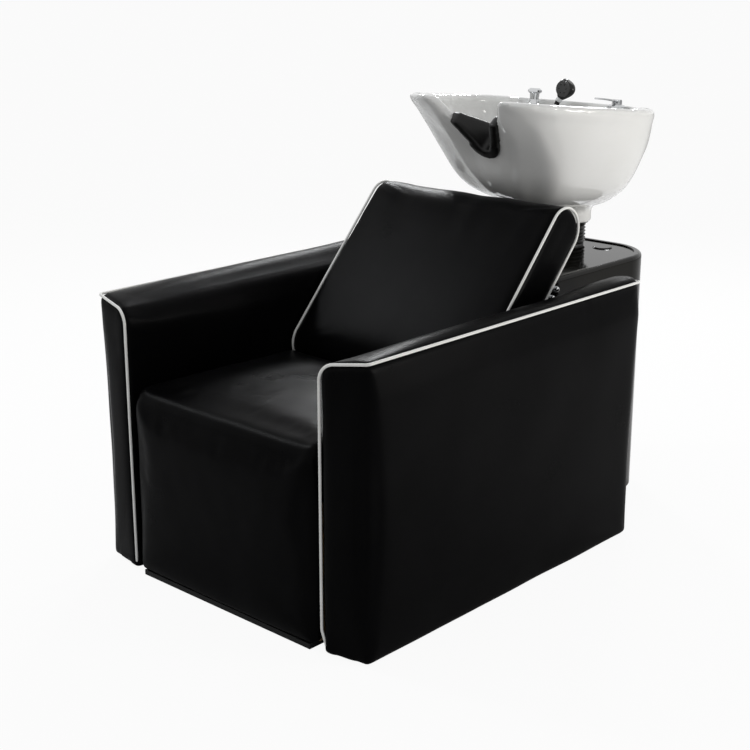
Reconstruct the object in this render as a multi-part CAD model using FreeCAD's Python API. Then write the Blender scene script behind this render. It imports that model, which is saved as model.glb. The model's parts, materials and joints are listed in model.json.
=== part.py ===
import FreeCAD
import Part
import math
import os

from FreeCAD import Vector

# Salon backwash unit: an upholstered armchair with a reclined backrest, a black pedestal housing behind it,
# and a tilting ceramic hair washing bowl on a bellows. Millimetres.
# X points to the sitter's left, Y to the rear, Z up. The floor is Z zero.
# Places along Y are counted from the front corners of the arms. When a piece is saved it moves by
# origin_y, so that the origin is on the floor, half way along the unit.

# Whole unit
overall_width = 740.0
arm_length = 842.0
seat_front_y = -25.0
pedestal_rear_y = 1163.0
origin_y = (seat_front_y + pedestal_rear_y) / 2

# Clearances and overruns shared by all pieces
cut_overrun = 6.0
soft_gap = 0.4
pin_clearance = 0.05
hole_clearance = 0.3

# Arms
arm_thickness = 101.0
arm_base_z = 2.0
arm_edge_z = 567.0
arm_inner_drop = 16.0
arm_shoulder_radius = 34.0
arm_front_slant = 17.0
arm_fold_radius = 9.0
arm_rear_radius = 32.0
arm_rear_inner_radius = 14.0
arm_crown = 8.0
arm_swell = 8.0
arm_stations = 8
arm_crown_power = 4
arm_crown_end_share = 0.1
arm_outer_x = overall_width / 2
arm_inner_x = arm_outer_x - arm_thickness

# Piping
piping_radius = 2.75
piping_clearance = 0.25

# Timber frame inside each arm
arm_frame_cover = 20.0
arm_frame_top_cover = 36.0
arm_frame_member = 44.0
glide_radius = 19.0
glide_inset = 62.0
glide_height = 7.0
glide_edge = 1.5

# Rails that tie the arms together, and their bolts
rail_height = 70.0
rail_depth = 40.0
rail_top_z = 228.0
rail_front_y = 17.0
rail_middle_y = 360.0
rail_rear_inset = 244.0
rail_places = {"front": rail_front_y, "middle": rail_middle_y, "rear": arm_length - rail_rear_inset}
bolt_radius = 4.0
bolt_head_radius = 8.0
bolt_head_height = 5.0
tie_bolt_length = 90.0

# Seat
seat_arm_gap = 11.0
seat_half_width = arm_inner_x - seat_arm_gap
seat_rear_y = 420.0
seat_front_edge_z = 398.0
seat_rear_edge_z = 390.0
seat_crown = 12.0
seat_front_crown = 4.0
seat_front_radius = 30.0
seat_rear_radius = 14.0
seat_bottom_z = 11.0
seat_station_shares = (1.0, 0.991, 0.967, 0.934, 0.8, 0.55, 0.28, 0.0)
seat_inset_shares = (1.0, 0.5, 0.134, 0.0, 0.0, 0.0, 0.0, 0.0)
seat_crown_shares = (0.1, 0.2, 0.3, 0.4, 0.66, 0.88, 0.97, 1.0)
seat_side_inset = 17.0
seat_low_inset_share = 0.6
seat_rear_inset_share = 0.5
seat_board_thickness = 15.0
seat_apron_thickness = 27.0
seat_frame_height = 62.0
seat_frame_member = 22.0
seat_frame_side_gap = 4.0
plinth_arm_gap = 29.0
plinth_half_width = arm_inner_x - plinth_arm_gap
plinth_inset = 5.0
webbing_width = 52.0
webbing_thickness = 2.5
webbing_count = 5

# Backrest, drawn along its own slanting axis from the lower to the upper end centre
backrest_foot_y = 471.0
backrest_foot_z = 398.0
backrest_recline = math.radians(42.0)
backrest_length = 371.4
backrest_radius = 48.0
backrest_arm_gap = 17.0
backrest_half_width = arm_inner_x - backrest_arm_gap
backrest_crown = 6.0
backrest_side_draw = 1.5
backrest_station_shares = (1.0, 0.9, 0.5, 0.0)
backrest_crown_shares = (0.12, 0.55, 0.92, 1.0)
backrest_board_thickness = 18.0
backrest_board_edge = 26.0
backrest_board_low = 18.0
backrest_board_cover = 13.0

# Pedestal housing
pedestal_arm_gap = 54.0
pedestal_half_width = arm_inner_x - pedestal_arm_gap
pedestal_rail_gap = 2.0
pedestal_front_y = rail_places["rear"] + rail_depth + pedestal_rail_gap
pedestal_top_z = 563.0
pedestal_wall = 4.0
pedestal_rear_radius = 120.0
pedestal_front_radius = 28.0
pedestal_edge_radius = 10.0
pedestal_tray_inset = 17.0
pedestal_tray_depth = 3.0
pedestal_backrest_gap = 9.0
bellows_hole_radius = 41.5

# Round plug in the pedestal's top
plug_x = 96.0
plug_y = 1096.0
plug_radius = 22.5
plug_stem_radius = 17.0
plug_cap_height = 2.6
plug_stem_length = 12.0

# Service panel in the pedestal's rear wall
panel_side_gap = 13.0
panel_width = 2 * (pedestal_half_width - pedestal_rear_radius - panel_side_gap)
panel_height = 300.0
panel_centre_z = 300.0
panel_thickness = 2.0
panel_lap = 14.0
panel_corner_radius = 16.0
screw_radius = 2.0
screw_head_radius = 3.6
screw_head_height = 1.2
screw_length = 11.0

# Brackets between the backrest and the pedestal
bracket_thickness = 4.0
bracket_width = 40.0
bracket_flat_half = 18.0
bracket_reach = 66.0
bracket_rise = 12.0
bracket_corner_radius = 12.0
bracket_along = 270.0
bracket_bolt_behind = 52.0
bracket_bolt_rises = (-5.0, 17.0)
cap_nut_radius = 6.0
cap_nut_barrel = 5.0
wood_screw_length = 34.0
wood_screw_inset = 25.0
wood_screw_x = pedestal_half_width - wood_screw_inset
wood_screw_shares = (-0.27, 0.27)  # of the bracket's width, from its middle

# Foot axis of the bowl, and heights on it
foot_y = 1076.0
pivot_z = 590.0
foot_bottom_z = 617.0
foot_radius = 61.0
foot_bore_radius = 49.0
foot_bore_top_z = 663.0

# Steel base frame
base_plate_thickness = 8.0
base_plate_half_width = 120.0
base_plate_front_y = 820.0
base_plate_rear_y = 1144.0
anchor_hole_radius = 6.5
anchor_spacing_x = 200.0
anchor_spacing_y = 280.0
column_half = 55.0
column_wall = 4.0
top_plate_half = 68.0
top_plate_thickness = 8.0
shelf_z = 64.0
shelf_thickness = 6.0
gusset_length = 90.0
gusset_height = 120.0
gusset_thickness = 6.0
tray_support_z = pedestal_top_z - pedestal_tray_depth - pedestal_wall

# Tilt joint
tilt_flange_radius = 60.0
tilt_flange_thickness = 8.0
tilt_bolt_circle = 51.0
tilt_slot_half_width = 22.5
tilt_slot_half_length = 39.0
lug_inner_x = 23.5
lug_thickness = 5.0
ear_thickness = 6.0
washer_thickness = 1.6
washer_radius = 10.0
washer_side_gap = 0.1
ear_half_width = 12.5
lug_half_width = 11.5
trunnion_radius = 5.0
trunnion_head_radius = 8.0
trunnion_head_height = 2.2
tilt_plate_radius = 46.0
tilt_plate_thickness = 6.0

# Bellows
bellows_outer_radius = 50.0
bellows_valley_radius = 45.0
bellows_wall = 1.8
bellows_flange_radius = 56.0
bellows_ribs = 6
bellows_cuff_height = 5.0
bellows_top_gap = 0.4
clamp_height = 3.6
clamp_thickness = 1.2

# Bowl, drawn in sections: height above the foot, then reach to the front, to the rear and to each side
bowl_heights = (0.0, 14.0, 30.0, 46.0, 66.0, 92.0, 125.0, 165.0, 205.0, 243.0, 274.0)
bowl_fronts = (61.0, 61.0, 63.0, 104.0, 190.0, 248.0, 283.0, 308.0, 334.0, 366.0, 395.0)
bowl_rears = (61.0, 61.0, 62.0, 66.0, 73.0, 80.0, 85.0, 86.5, 86.0, 85.0, 83.0)
bowl_halves = (61.0, 61.0, 63.0, 91.0, 135.0, 170.0, 194.0, 215.0, 231.0, 241.0, 246.0)
bowl_dishes = (0.0, 0.0, 0.0, 0.0, 2.0, 6.0, 12.0, 18.0, 14.0, 5.0, 0.0)  # how far the middle of the front draws in
bowl_dish_place_shares = (0.3, 0.62)
bowl_dish_depth_shares = (0.99, 0.8)
bowl_rim_height = bowl_heights[-1]
bowl_rim_front = bowl_fronts[-1]
bowl_rim_half = bowl_halves[-1]
bowl_slope = math.radians(5.4)
bowl_slope_start = 60.0
bowl_quarter_steps = 4
bowl_wide_share = 0.22
bowl_flat_share = 0.47
bowl_least_flat_share = 0.02
bowl_rear_flat_share = 0.62
bowl_wall = 13.0
basin_heights = (62.0, 70.0, 90.0, 118.0, 150.0, 190.0, 230.0, 262.0, 290.0)
basin_fronts = (52.0, 104.0, 190.0, 240.0, 268.0, 294.0, 322.0, 350.0, 372.0)
basin_rears = (18.0, 19.0, 20.0, 20.5, 21.0, 21.0, 21.0, 21.0, 21.0)
basin_halves = (33.0, 74.0, 126.0, 160.0, 184.0, 204.0, 219.0, 226.0, 229.0)
basin_flat_shares = (0.0, 0.12, 0.28, 0.36, 0.42, 0.46, 0.47, 0.47, 0.47)
deck_depth = 16.0
deck_front_y = 1066.0
deck_half_width = 170.0
deck_thickness = 13.0
deck_lip = 13.0
deck_tap_y = 1121.0

# Neck notch
notch_bottom_z = 800.0
notch_bottom_radius = 34.0
notch_side_angle = math.radians(29.2)  # each side from upright
notch_corner_radius = 26.0
notch_margin = 30.0
notch_rear_y = 880.0

# Hollow behind the basin for the hoses
hollow_front_y = 1104.0
hollow_half_width = 150.0
hollow_low_z = 662.0

# Access hole at the rear of the bowl
access_half_width = 50.0
access_half_height = 28.0
access_centre_z = 775.0
access_lap = 7.0
access_thickness = 3.0
access_corner_share = 0.96

# Waste
drain_y = 1060.0
drain_flange_radius = 30.0
drain_flange_thickness = 4.0
drain_seal_thickness = 1.5
drain_tube_radius = 15.0
drain_tube_wall = 2.5
drain_tube_end_z = 636.0
drain_nut_radius = 21.0
drain_nut_height = 8.0
tailpiece_end_z = 573.0
tailpiece_collar_radius = 19.0
tailpiece_collar_height = 7.0
waste_socket_z = 583.0
waste_hose_bore = 18.0
waste_hose_wall = 2.5
waste_spigot_radius = 20.0
waste_spigot_bore = 17.0
waste_spigot_low_z = 14.0
waste_spigot_collar_radius = 26.0
spigot_shoulder = 1.5
waste_spigot_collar_height = 6.0
waste_hub_height = 26.0

# Hair strainer
strainer_radius = 25.0
strainer_rim_thickness = 2.0
strainer_cup_radius = 10.5
strainer_cup_depth = 14.0
strainer_wall = 1.2
strainer_slots = 6
strainer_slot_width = 3.0

# Water supply
supply_spread = 7.0
supply_y = 1109.8
supply_radius = 5.0
supply_bend = 40.0
supply_upper_bend = 32.0
supply_first_rise = 120.0
supply_second_rise = 220.0
supply_third_rise = 30.0
supply_fourth_rise = 100.0
supply_gap = 1.5
inlet_spread = 20.0
inlet_y = 1102.0
inlet_radius = 10.45
inlet_bore = 7.5
inlet_low_z = 16.0
inlet_collar_radius = 14.0
inlet_collar_height = 5.0
inlet_hub_height = 16.0

# Mixer tap
mixer_x = 99.0
mixer_flange_radius = 21.5
mixer_flange_height = 3.0
mixer_body_radius = 19.5
mixer_body_height = 3.0
mixer_cap_radius = 20.5
mixer_cap_height = 12.0
mixer_cap_radius_shares = (1.0, 0.88, 0.6)
mixer_cap_height_shares = (0.6, 0.9, 1.0)
mixer_cap_gap = 0.4
mixer_spindle_radius = 8.0
mixer_spindle_height = 7.0
mixer_shank_radius = 11.0
mixer_shank_length = 24.0
mixer_nut_radius = 15.0
deck_nut_height = 7.0
lever_fork_width = 12.0
lever_fork_gap = 0.4
lever_pin_radius = 2.5
lever_ear_thickness = 4.0
lever_ear_height = 11.0
lever_ear_sink = 2.0
lever_reach = 84.0
lever_root_width = 19.0
lever_tip_width = 11.0
lever_thickness = 4.0
lever_rise = 5.5
lever_root_share = 0.75  # where the handle starts, of the boss's radius
lever_corner_share = 0.8
lever_along_shares = (0.0, 0.35, 0.7, 1.0)
lever_taper_shares = (0.0, 0.55, 0.85, 1.0)
lever_rise_shares = (0.0, 0.62, 0.92, 1.0)

# Vacuum breaker
breaker_x = -131.0
breaker_y = 1117.0
breaker_body_radius = 11.5
breaker_foot_radius = 14.5
breaker_foot_height = 4.0
breaker_body_height = 24.0
breaker_cap_radius = 16.5
breaker_cap_height = 12.0
breaker_foot_share = 0.6
breaker_waist_radius_share = 0.9
breaker_waist_height_share = 0.4
breaker_cap_radius_shares = (0.8, 1.0, 1.0, 0.72)
breaker_cap_height_shares = (0.0, 0.25, 0.6, 0.95)
breaker_shank_radius = 8.0
breaker_shank_length = 24.0
breaker_nut_radius = 12.0

# Spray head and its guide
spray_x = -68.0
spray_lean = math.radians(33.0)
guide_radius = 13.0
guide_height = 6.0
guide_shank_radius = 10.5
guide_nut_radius = 14.5
guide_shank_length = 24.0
guide_bore = 7.2
hose_radius = 6.0
hose_end_low = 14.0
hose_loop_drop = 18.0
hose_loop_bend = 14.4
hose_knee_bend = 24.0
hose_end_high = 7.5
hose_knee_height = 2.5
collar_radius = 7.5
collar_length = 9.0
spray_length = 45.0
spray_width = 47.0
spray_thickness = 30.0
spray_along_shares = (0.0, 0.22, 0.46, 0.68, 0.88, 1.0)
spray_width_shares = (0.4, 0.68, 0.93, 1.0, 0.83, 0.45)
spray_depth_shares = (0.5, 0.66, 0.9, 1.0, 0.86, 0.45)
spray_face_share = 0.56  # how far along the head the sieve's centre lies
spray_recess_share = 0.72
spray_hole_share = 0.55
spray_hole_count = 6
spray_section_points = 12
spray_face_radius = 19.0
spray_face_thickness = 3.0

# Neck rest, which follows the slant of the bowl's front wall
rest_lean = math.radians(39.0)
rest_thickness = 15.0
rest_proud = 3.0
rest_edge_lap = 2.0
rest_rear_lap = 9.0
rest_rear_start = 4.0
rest_depth = 60.0
rest_height = 96.0
rest_lip = 7.0
rest_lip_height = 30.0
rest_top_slope = math.radians(20.5)
rest_end_depth = 24.0
stud_radius = 3.2
stud_height = 1.6
stud_depth = 8.0
stud_rise = 7.0


def line(a, b):
    return Part.LineSegment(a, b).toShape()


def arc(a, middle, b):
    return Part.Arc(a, middle, b).toShape()


def corner_arc(before, corner, after, radius):
    """Start, middle and end of the arc that rounds a corner between two straight runs."""
    inward = (before - corner).normalize()
    outward = (after - corner).normalize()
    half_angle = inward.getAngle(outward) / 2
    reach = radius / math.tan(half_angle)
    bisector = (inward + outward).normalize()
    middle = corner + bisector * (radius / math.sin(half_angle) - radius)
    return corner + inward * reach, middle, corner + outward * reach


def rounded_wire(points, radii, closed=True):
    """Straight runs through the points, with each corner rounded by its own radius, sharp where it is zero."""
    count = len(points)
    stops = []
    for index, point in enumerate(points):
        is_end = not closed and index in (0, count - 1)
        if is_end or radii[index] == 0:
            stops.append((point, None, point))
        else:
            stops.append(corner_arc(points[index - 1], point, points[(index + 1) % count], radii[index]))
    edges = []
    for index, (start, middle, end) in enumerate(stops):
        if middle is not None:
            edges.append(arc(start, middle, end))
        if closed or index < count - 1:
            following = stops[(index + 1) % count][0]
            if end.distanceToPoint(following) > 1e-6:
                edges.append(line(end, following))
    return Part.Wire(edges)


def prism(wire, travel):
    return Part.Face(wire).extrude(travel)


def block(low, high):
    size = high - low
    return Part.makeBox(size.x, size.y, size.z, low)


def rod(start, end, radius):
    travel = end - start
    return Part.makeCylinder(radius, travel.Length, start, travel)


def tube(start, end, radius, bore):
    travel = (end - start).normalize() * cut_overrun
    return rod(start, end, radius).cut(rod(start - travel, end + travel, bore))


def hexagon(centre, across_corners, height):
    points = []
    for turn in range(6):
        angle = turn * math.pi / 3
        points.append(centre + Vector(across_corners * math.cos(angle), across_corners * math.sin(angle), 0))
    return prism(Part.makePolygon(points + [points[0]]), Vector(0, 0, height))


def turned(profile, centre):
    """A solid turned about the vertical line through centre, from (radius, height) points."""
    points = [centre + Vector(radius, 0, height) for radius, height in profile]
    face = Part.Face(Part.makePolygon(points + [points[0]]))
    return face.revolve(centre, Vector(0, 0, 1), 360)


def cord(route, radius):
    """A round cord swept along a smooth route."""
    start = route.Edges[0].firstVertex(True).Point
    direction = route.Edges[0].tangentAt(route.Edges[0].FirstParameter)
    if start.distanceToPoint(route.OrderedVertexes[0].Point) > 1e-6:
        start = route.OrderedVertexes[0].Point
    circle = Part.Wire(Part.makeCircle(radius, start, direction))
    return Part.Wire(route.OrderedEdges).makePipeShell([circle], True, False)


def mirrored(shape):
    return shape.mirror(Vector(0, 0, 0), Vector(1, 0, 0))


def both_sides(shape):
    return Part.makeCompound([shape, mirrored(shape)])


def arm_top_section(station):
    """Outline, across the arm, of what is cut away over its shoulder and its crowned top."""
    crown_share = 1 - (1 - arm_crown_end_share) * abs(2 * station - 1) ** arm_crown_power
    y = station * (arm_length + 2 * arm_front_slant + 2 * cut_overrun) - arm_front_slant - cut_overrun
    foot = Vector(arm_inner_x, y, arm_base_z)
    corner = Vector(arm_inner_x, y, arm_edge_z - arm_inner_drop + arm_swell * crown_share)
    outer = Vector(arm_outer_x, y, arm_edge_z)
    start, middle, end = corner_arc(foot, corner, outer, arm_shoulder_radius)
    crest = (end + outer) * 0.5 + Vector(0, 0, arm_crown * crown_share)
    inward = Vector(-cut_overrun, 0, 0)
    rise = Vector(0, 0, arm_thickness)
    return Part.Wire([
        arc(start, middle, end),
        arc(end, crest, outer),
        line(outer, outer - inward),
        line(outer - inward, outer - inward + rise),
        line(outer - inward + rise, Vector(start.x, y, outer.z) + inward + rise),
        line(Vector(start.x, y, outer.z) + inward + rise, start + inward),
        line(start + inward, start),
    ])


def arm_frame_box():
    """The space inside the cover that the timber frame fills."""
    low = Vector(arm_inner_x + arm_frame_cover, arm_frame_cover, arm_base_z)
    high = Vector(
        arm_outer_x - arm_frame_cover,
        arm_length - arm_frame_cover,
        arm_edge_z - arm_frame_top_cover,
    )
    return low, high


def arm_piping_route():
    inner_z = arm_edge_z - arm_inner_drop
    points = [
        Vector(arm_inner_x, -arm_front_slant, arm_base_z),
        Vector(arm_inner_x, -arm_front_slant, inner_z),
        Vector(arm_outer_x, 0, arm_edge_z),
        Vector(arm_outer_x, arm_length, arm_edge_z),
        Vector(arm_inner_x + arm_shoulder_radius, arm_length, inner_z + arm_inner_drop / 2),
    ]
    radii = [0, arm_shoulder_radius, arm_fold_radius, arm_rear_radius, 0]
    return rounded_wire(points, radii, closed=False)


def tie_bolt_line(place):
    """The line of the bolt that joins an arm's frame to the left end of a tie rail."""
    z = rail_top_z - rail_height / 2
    y = rail_places[place] + rail_depth / 2
    head_x = arm_inner_x + arm_frame_cover + arm_frame_member / 2
    return Vector(head_x, y, z), Vector(head_x - tie_bolt_length, y, z)


def make_arms():
    plan = [
        Vector(arm_inner_x, -arm_front_slant, arm_base_z),
        Vector(arm_outer_x, 0, arm_base_z),
        Vector(arm_outer_x, arm_length, arm_base_z),
        Vector(arm_inner_x, arm_length, arm_base_z),
    ]
    plan_radii = [0, arm_fold_radius, arm_rear_radius, arm_rear_inner_radius]
    upright = Vector(0, 0, arm_edge_z + arm_crown + arm_swell)
    body = prism(rounded_wire(plan, plan_radii), upright)
    sections = [arm_top_section(index / arm_stations) for index in range(arm_stations + 1)]
    body = body.cut(Part.makeLoft(sections, True))
    low, high = arm_frame_box()
    body = body.cut(block(low - Vector(0, 0, cut_overrun), high))
    route = arm_piping_route()
    body = body.cut(cord(route, piping_radius + piping_clearance))

    frame = block(low, high)
    inside = Vector(cut_overrun, 0, 0)
    member = arm_frame_member
    posts = [rail_places[place] + rail_depth / 2 for place in ("middle", "rear")]
    bay_starts = [low.y + member] + [y + member / 2 for y in posts]
    bay_ends = [y - member / 2 for y in posts] + [high.y - member]
    for bay_start, bay_end in zip(bay_starts, bay_ends):
        bay_low = Vector(low.x, bay_start, low.z + member) - inside
        bay_high = Vector(high.x, bay_end, high.z - member) + inside
        frame = frame.cut(block(bay_low, bay_high))
    for place in rail_places:
        head, tip = tie_bolt_line(place)
        hole = rod(head, tip, bolt_radius)
        body = body.cut(hole)
        counterbore = rod(head, Vector(high.x + cut_overrun, head.y, head.z), bolt_head_radius + hole_clearance)
        frame = frame.cut(hole.fuse(counterbore))

    glides = []
    for y in (glide_inset, arm_length - glide_inset):
        centre = Vector((low.x + high.x) / 2, y, 0)
        profile = (
            (0, 0),
            (glide_radius - glide_edge, 0),
            (glide_radius, glide_edge),
            (glide_radius, glide_height),
            (0, glide_height),
        )
        glides.append(turned(profile, centre))
        frame = frame.cut(rod(centre, centre + Vector(0, 0, glide_height), glide_radius))
    pieces = {
        "left_arm_cover": body,
        "right_arm_cover": mirrored(body),
        "left_arm_frame": frame,
        "right_arm_frame": mirrored(frame),
        "left_arm_piping": cord(route, piping_radius),
        "right_arm_piping": mirrored(cord(route, piping_radius)),
    }
    pieces["arm_glides"] = both_sides(Part.makeCompound(glides))
    return pieces


# Rails and bolts between the arms


def make_rails():
    rails = []
    bolts = []
    for place, y in rail_places.items():
        rail = block(Vector(-arm_inner_x, y, rail_top_z - rail_height), Vector(arm_inner_x, y + rail_depth, rail_top_z))
        head, tip = tie_bolt_line(place)
        hole = rod(head, tip, bolt_radius)
        rail = rail.cut(both_sides(hole))
        outward = Vector(1, 0, 0)
        bolts.append(hole.fuse(rod(head, head + outward * bolt_head_height, bolt_head_radius)))
        if place == "rear":
            for bolt in pedestal_bolt_shapes():
                rail = rail.cut(bolt)
        rails.append(rail)
    return {"tie_rails": Part.makeCompound(rails), "tie_bolts": both_sides(Part.makeCompound(bolts))}


def pedestal_bolt_shapes():
    """Two bolts through the rear rail and the pedestal's front wall."""
    z = rail_top_z - rail_height / 2
    rail_front = rail_places["rear"]
    shapes = []
    for side in (-1, 1):
        x = side * pedestal_half_width / 2
        start = Vector(x, rail_front, z)
        end = Vector(x, pedestal_front_y + pedestal_wall + bolt_head_height, z)
        back = Vector(0, -1, 0)
        bolt = rod(start, end, bolt_radius)
        bolt = bolt.fuse(rod(start, start + back * bolt_head_height, bolt_head_radius))
        nut_start = Vector(x, pedestal_front_y + pedestal_wall, z)
        bolt = bolt.fuse(rod(nut_start, nut_start - back * bolt_head_height, bolt_head_radius))
        shapes.append(bolt)
    return shapes


# Seat


def seat_section(share, inset_share, crown_share, side):
    """Outline of the seat block at one place across its width, seen from the side."""
    x = side * share * seat_half_width
    inset = seat_side_inset * inset_share
    front = seat_front_y + inset + seat_front_crown * (1 - crown_share)
    low = seat_bottom_z + inset * seat_low_inset_share
    front_top = seat_front_edge_z - inset
    rear_top = seat_rear_edge_z - inset
    rear = seat_rear_y - inset * seat_rear_inset_share
    radius = seat_front_radius
    lean = 1 - math.sqrt(0.5)
    bottom_front = Vector(x, front, low)
    face_top = Vector(x, front, front_top - radius)
    top_front = Vector(x, front + radius, front_top)
    top_rear = Vector(x, rear - seat_rear_radius, rear_top)
    rear_face = Vector(x, rear, rear_top - seat_rear_radius)
    rear_low = Vector(x, rear, low)
    front_edge = Vector(x, front + radius * lean, front_top - radius * lean)
    rear_edge = Vector(x, rear - seat_rear_radius * lean, rear_top - seat_rear_radius * lean)
    top = (top_front + top_rear) * 0.5 + Vector(0, 0, seat_crown * crown_share)
    return Part.Wire([
        line(bottom_front, face_top),
        arc(face_top, front_edge, top_front),
        arc(top_front, top, top_rear),
        arc(top_rear, rear_edge, rear_face),
        line(rear_face, rear_low),
        line(rear_low, bottom_front),
    ])


def across(shares, *tables):
    """Station rows from one side to the other, with the middle once."""
    rows = list(zip(shares, *tables))
    left = [row + (-1,) for row in rows]
    right = [row + (1,) for row in reversed(rows[:-1])]
    return left + right


def make_seat():
    rows = across(seat_station_shares, seat_inset_shares, seat_crown_shares)
    cushion = Part.makeLoft([seat_section(*row) for row in rows], True)
    board_front = seat_front_y + seat_apron_thickness
    board_rear = board_front + seat_board_thickness
    webbing_top = rail_top_z + seat_frame_height + webbing_thickness
    wide = Vector(seat_half_width + cut_overrun, 0, 0)
    under_low = Vector(0, board_front, -cut_overrun) - wide
    under_high = Vector(0, seat_rear_y + cut_overrun, webbing_top) + wide
    cushion = cushion.cut(block(under_low, under_high))

    frame_half = seat_half_width - seat_frame_side_gap - seat_side_inset / 2
    frame_top = rail_top_z + seat_frame_height
    frame_rear = seat_rear_y - seat_rear_radius
    plinth_top = seat_bottom_z - soft_gap
    plinth = block(
        Vector(-plinth_half_width, seat_front_y + plinth_inset, 0),
        Vector(plinth_half_width, board_rear, plinth_top),
    )
    board = block(Vector(-frame_half, board_front, plinth_top), Vector(frame_half, board_rear, frame_top))
    member = seat_frame_member
    frame = block(Vector(-frame_half, board_rear, rail_top_z), Vector(frame_half, frame_rear, frame_top))
    opening_low = Vector(-frame_half + member, board_rear + member, rail_top_z - cut_overrun)
    opening_high = Vector(frame_half - member, frame_rear - member, frame_top + cut_overrun)
    frame = frame.cut(block(opening_low, opening_high))
    bands = []
    span = frame_rear - board_rear
    pitch = span / webbing_count
    for index in range(webbing_count):
        y = board_rear + pitch * (index + 0.5) - webbing_width / 2
        low = Vector(-frame_half, y, frame_top)
        bands.append(block(low, Vector(frame_half, y + webbing_width, frame_top + webbing_thickness)))
    return {
        "seat_cushion": cushion,
        "seat_frame": frame,
        "front_board": board,
        "front_plinth": plinth,
        "seat_webbing": Part.makeCompound(bands),
    }


# Backrest

recline_along = Vector(0, math.sin(backrest_recline), math.cos(backrest_recline))
recline_front = Vector(0, -math.cos(backrest_recline), math.sin(backrest_recline))
backrest_foot = Vector(0, backrest_foot_y, backrest_foot_z)


def backrest_point(x, along, forward):
    return backrest_foot + recline_along * along + recline_front * forward + Vector(x, 0, 0)


def backrest_outline(x, radius, crown):
    """Stadium outline of the backrest, seen from the side, with its front face swelled by the crown."""
    diagonal = radius * math.sqrt(0.5)
    length = backrest_length
    foot_front = backrest_point(x, 0, radius)
    head_front = backrest_point(x, length, radius)
    head_tip = backrest_point(x, length + radius, 0)
    head_back = backrest_point(x, length, -radius)
    foot_back = backrest_point(x, 0, -radius)
    foot_tip = backrest_point(x, -radius, 0)
    if crown > 0:
        front = arc(foot_front, backrest_point(x, length / 2, radius + crown), head_front)
    else:
        front = line(foot_front, head_front)
    return Part.Wire([
        front,
        arc(head_front, backrest_point(x, length + diagonal, diagonal), head_tip),
        arc(head_tip, backrest_point(x, length + diagonal, -diagonal), head_back),
        line(head_back, foot_back),
        arc(foot_back, backrest_point(x, -diagonal, -diagonal), foot_tip),
        arc(foot_tip, backrest_point(x, -diagonal, diagonal), foot_front),
    ])


def slanted_block(x_half, along_low, along_high, forward_low, forward_high, x_centre=0):
    """A block whose length lies along the reclined backrest."""
    x = x_centre - x_half
    points = [
        backrest_point(x, along_low, forward_low),
        backrest_point(x, along_high, forward_low),
        backrest_point(x, along_high, forward_high),
        backrest_point(x, along_low, forward_high),
    ]
    return prism(Part.makePolygon(points + [points[0]]), Vector(2 * x_half, 0, 0))


backrest_rear = -backrest_radius - backrest_side_draw


def make_backrest():
    rows = across(backrest_station_shares, backrest_crown_shares)
    sections = []
    for share, crown_share, side in rows:
        radius = backrest_radius + backrest_side_draw * crown_share
        sections.append(backrest_outline(side * share * backrest_half_width, radius, backrest_crown * crown_share))
    cushion = Part.makeLoft(sections, True)
    board_half = backrest_half_width - backrest_board_edge
    board_back = backrest_rear + backrest_board_cover
    board_shape = (board_half, backrest_board_low, backrest_length - backrest_board_low, board_back)
    board = slanted_block(*board_shape, board_back + backrest_board_thickness)
    cushion = cushion.cut(board)
    loops = []
    for side in (-1, 1):
        x = side * backrest_half_width
        loop = backrest_outline(x, backrest_radius, 0)
        cushion = cushion.cut(cord(loop, piping_radius + piping_clearance))
        loops.append(cord(loop, piping_radius))

    brackets = []
    screws = []
    bolts = []
    for side in (-1, 1):
        bracket, screw_set, bolt_set = make_bracket(side)
        brackets.append(bracket)
        screws += screw_set
        bolts += bolt_set
    for screw in screws:
        cushion = cushion.cut(screw)
        board = board.cut(screw)
    return {
        "backrest_cushion": cushion,
        "backrest_board": board,
        "backrest_piping": Part.makeCompound(loops),
        "backrest_brackets": Part.makeCompound(brackets),
        "backrest_screws": Part.makeCompound(screws),
        "bracket_bolts": Part.makeCompound(bolts),
    }


def bracket_bolt_places():
    """Two bolt centres on the pedestal's side, as (y, z), in a row beside the backrest."""
    places = []
    for rise in bracket_bolt_rises:
        point = backrest_point(0, bracket_along + rise, backrest_rear - bracket_bolt_behind)
        places.append((point.y, point.z))
    return places


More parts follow.
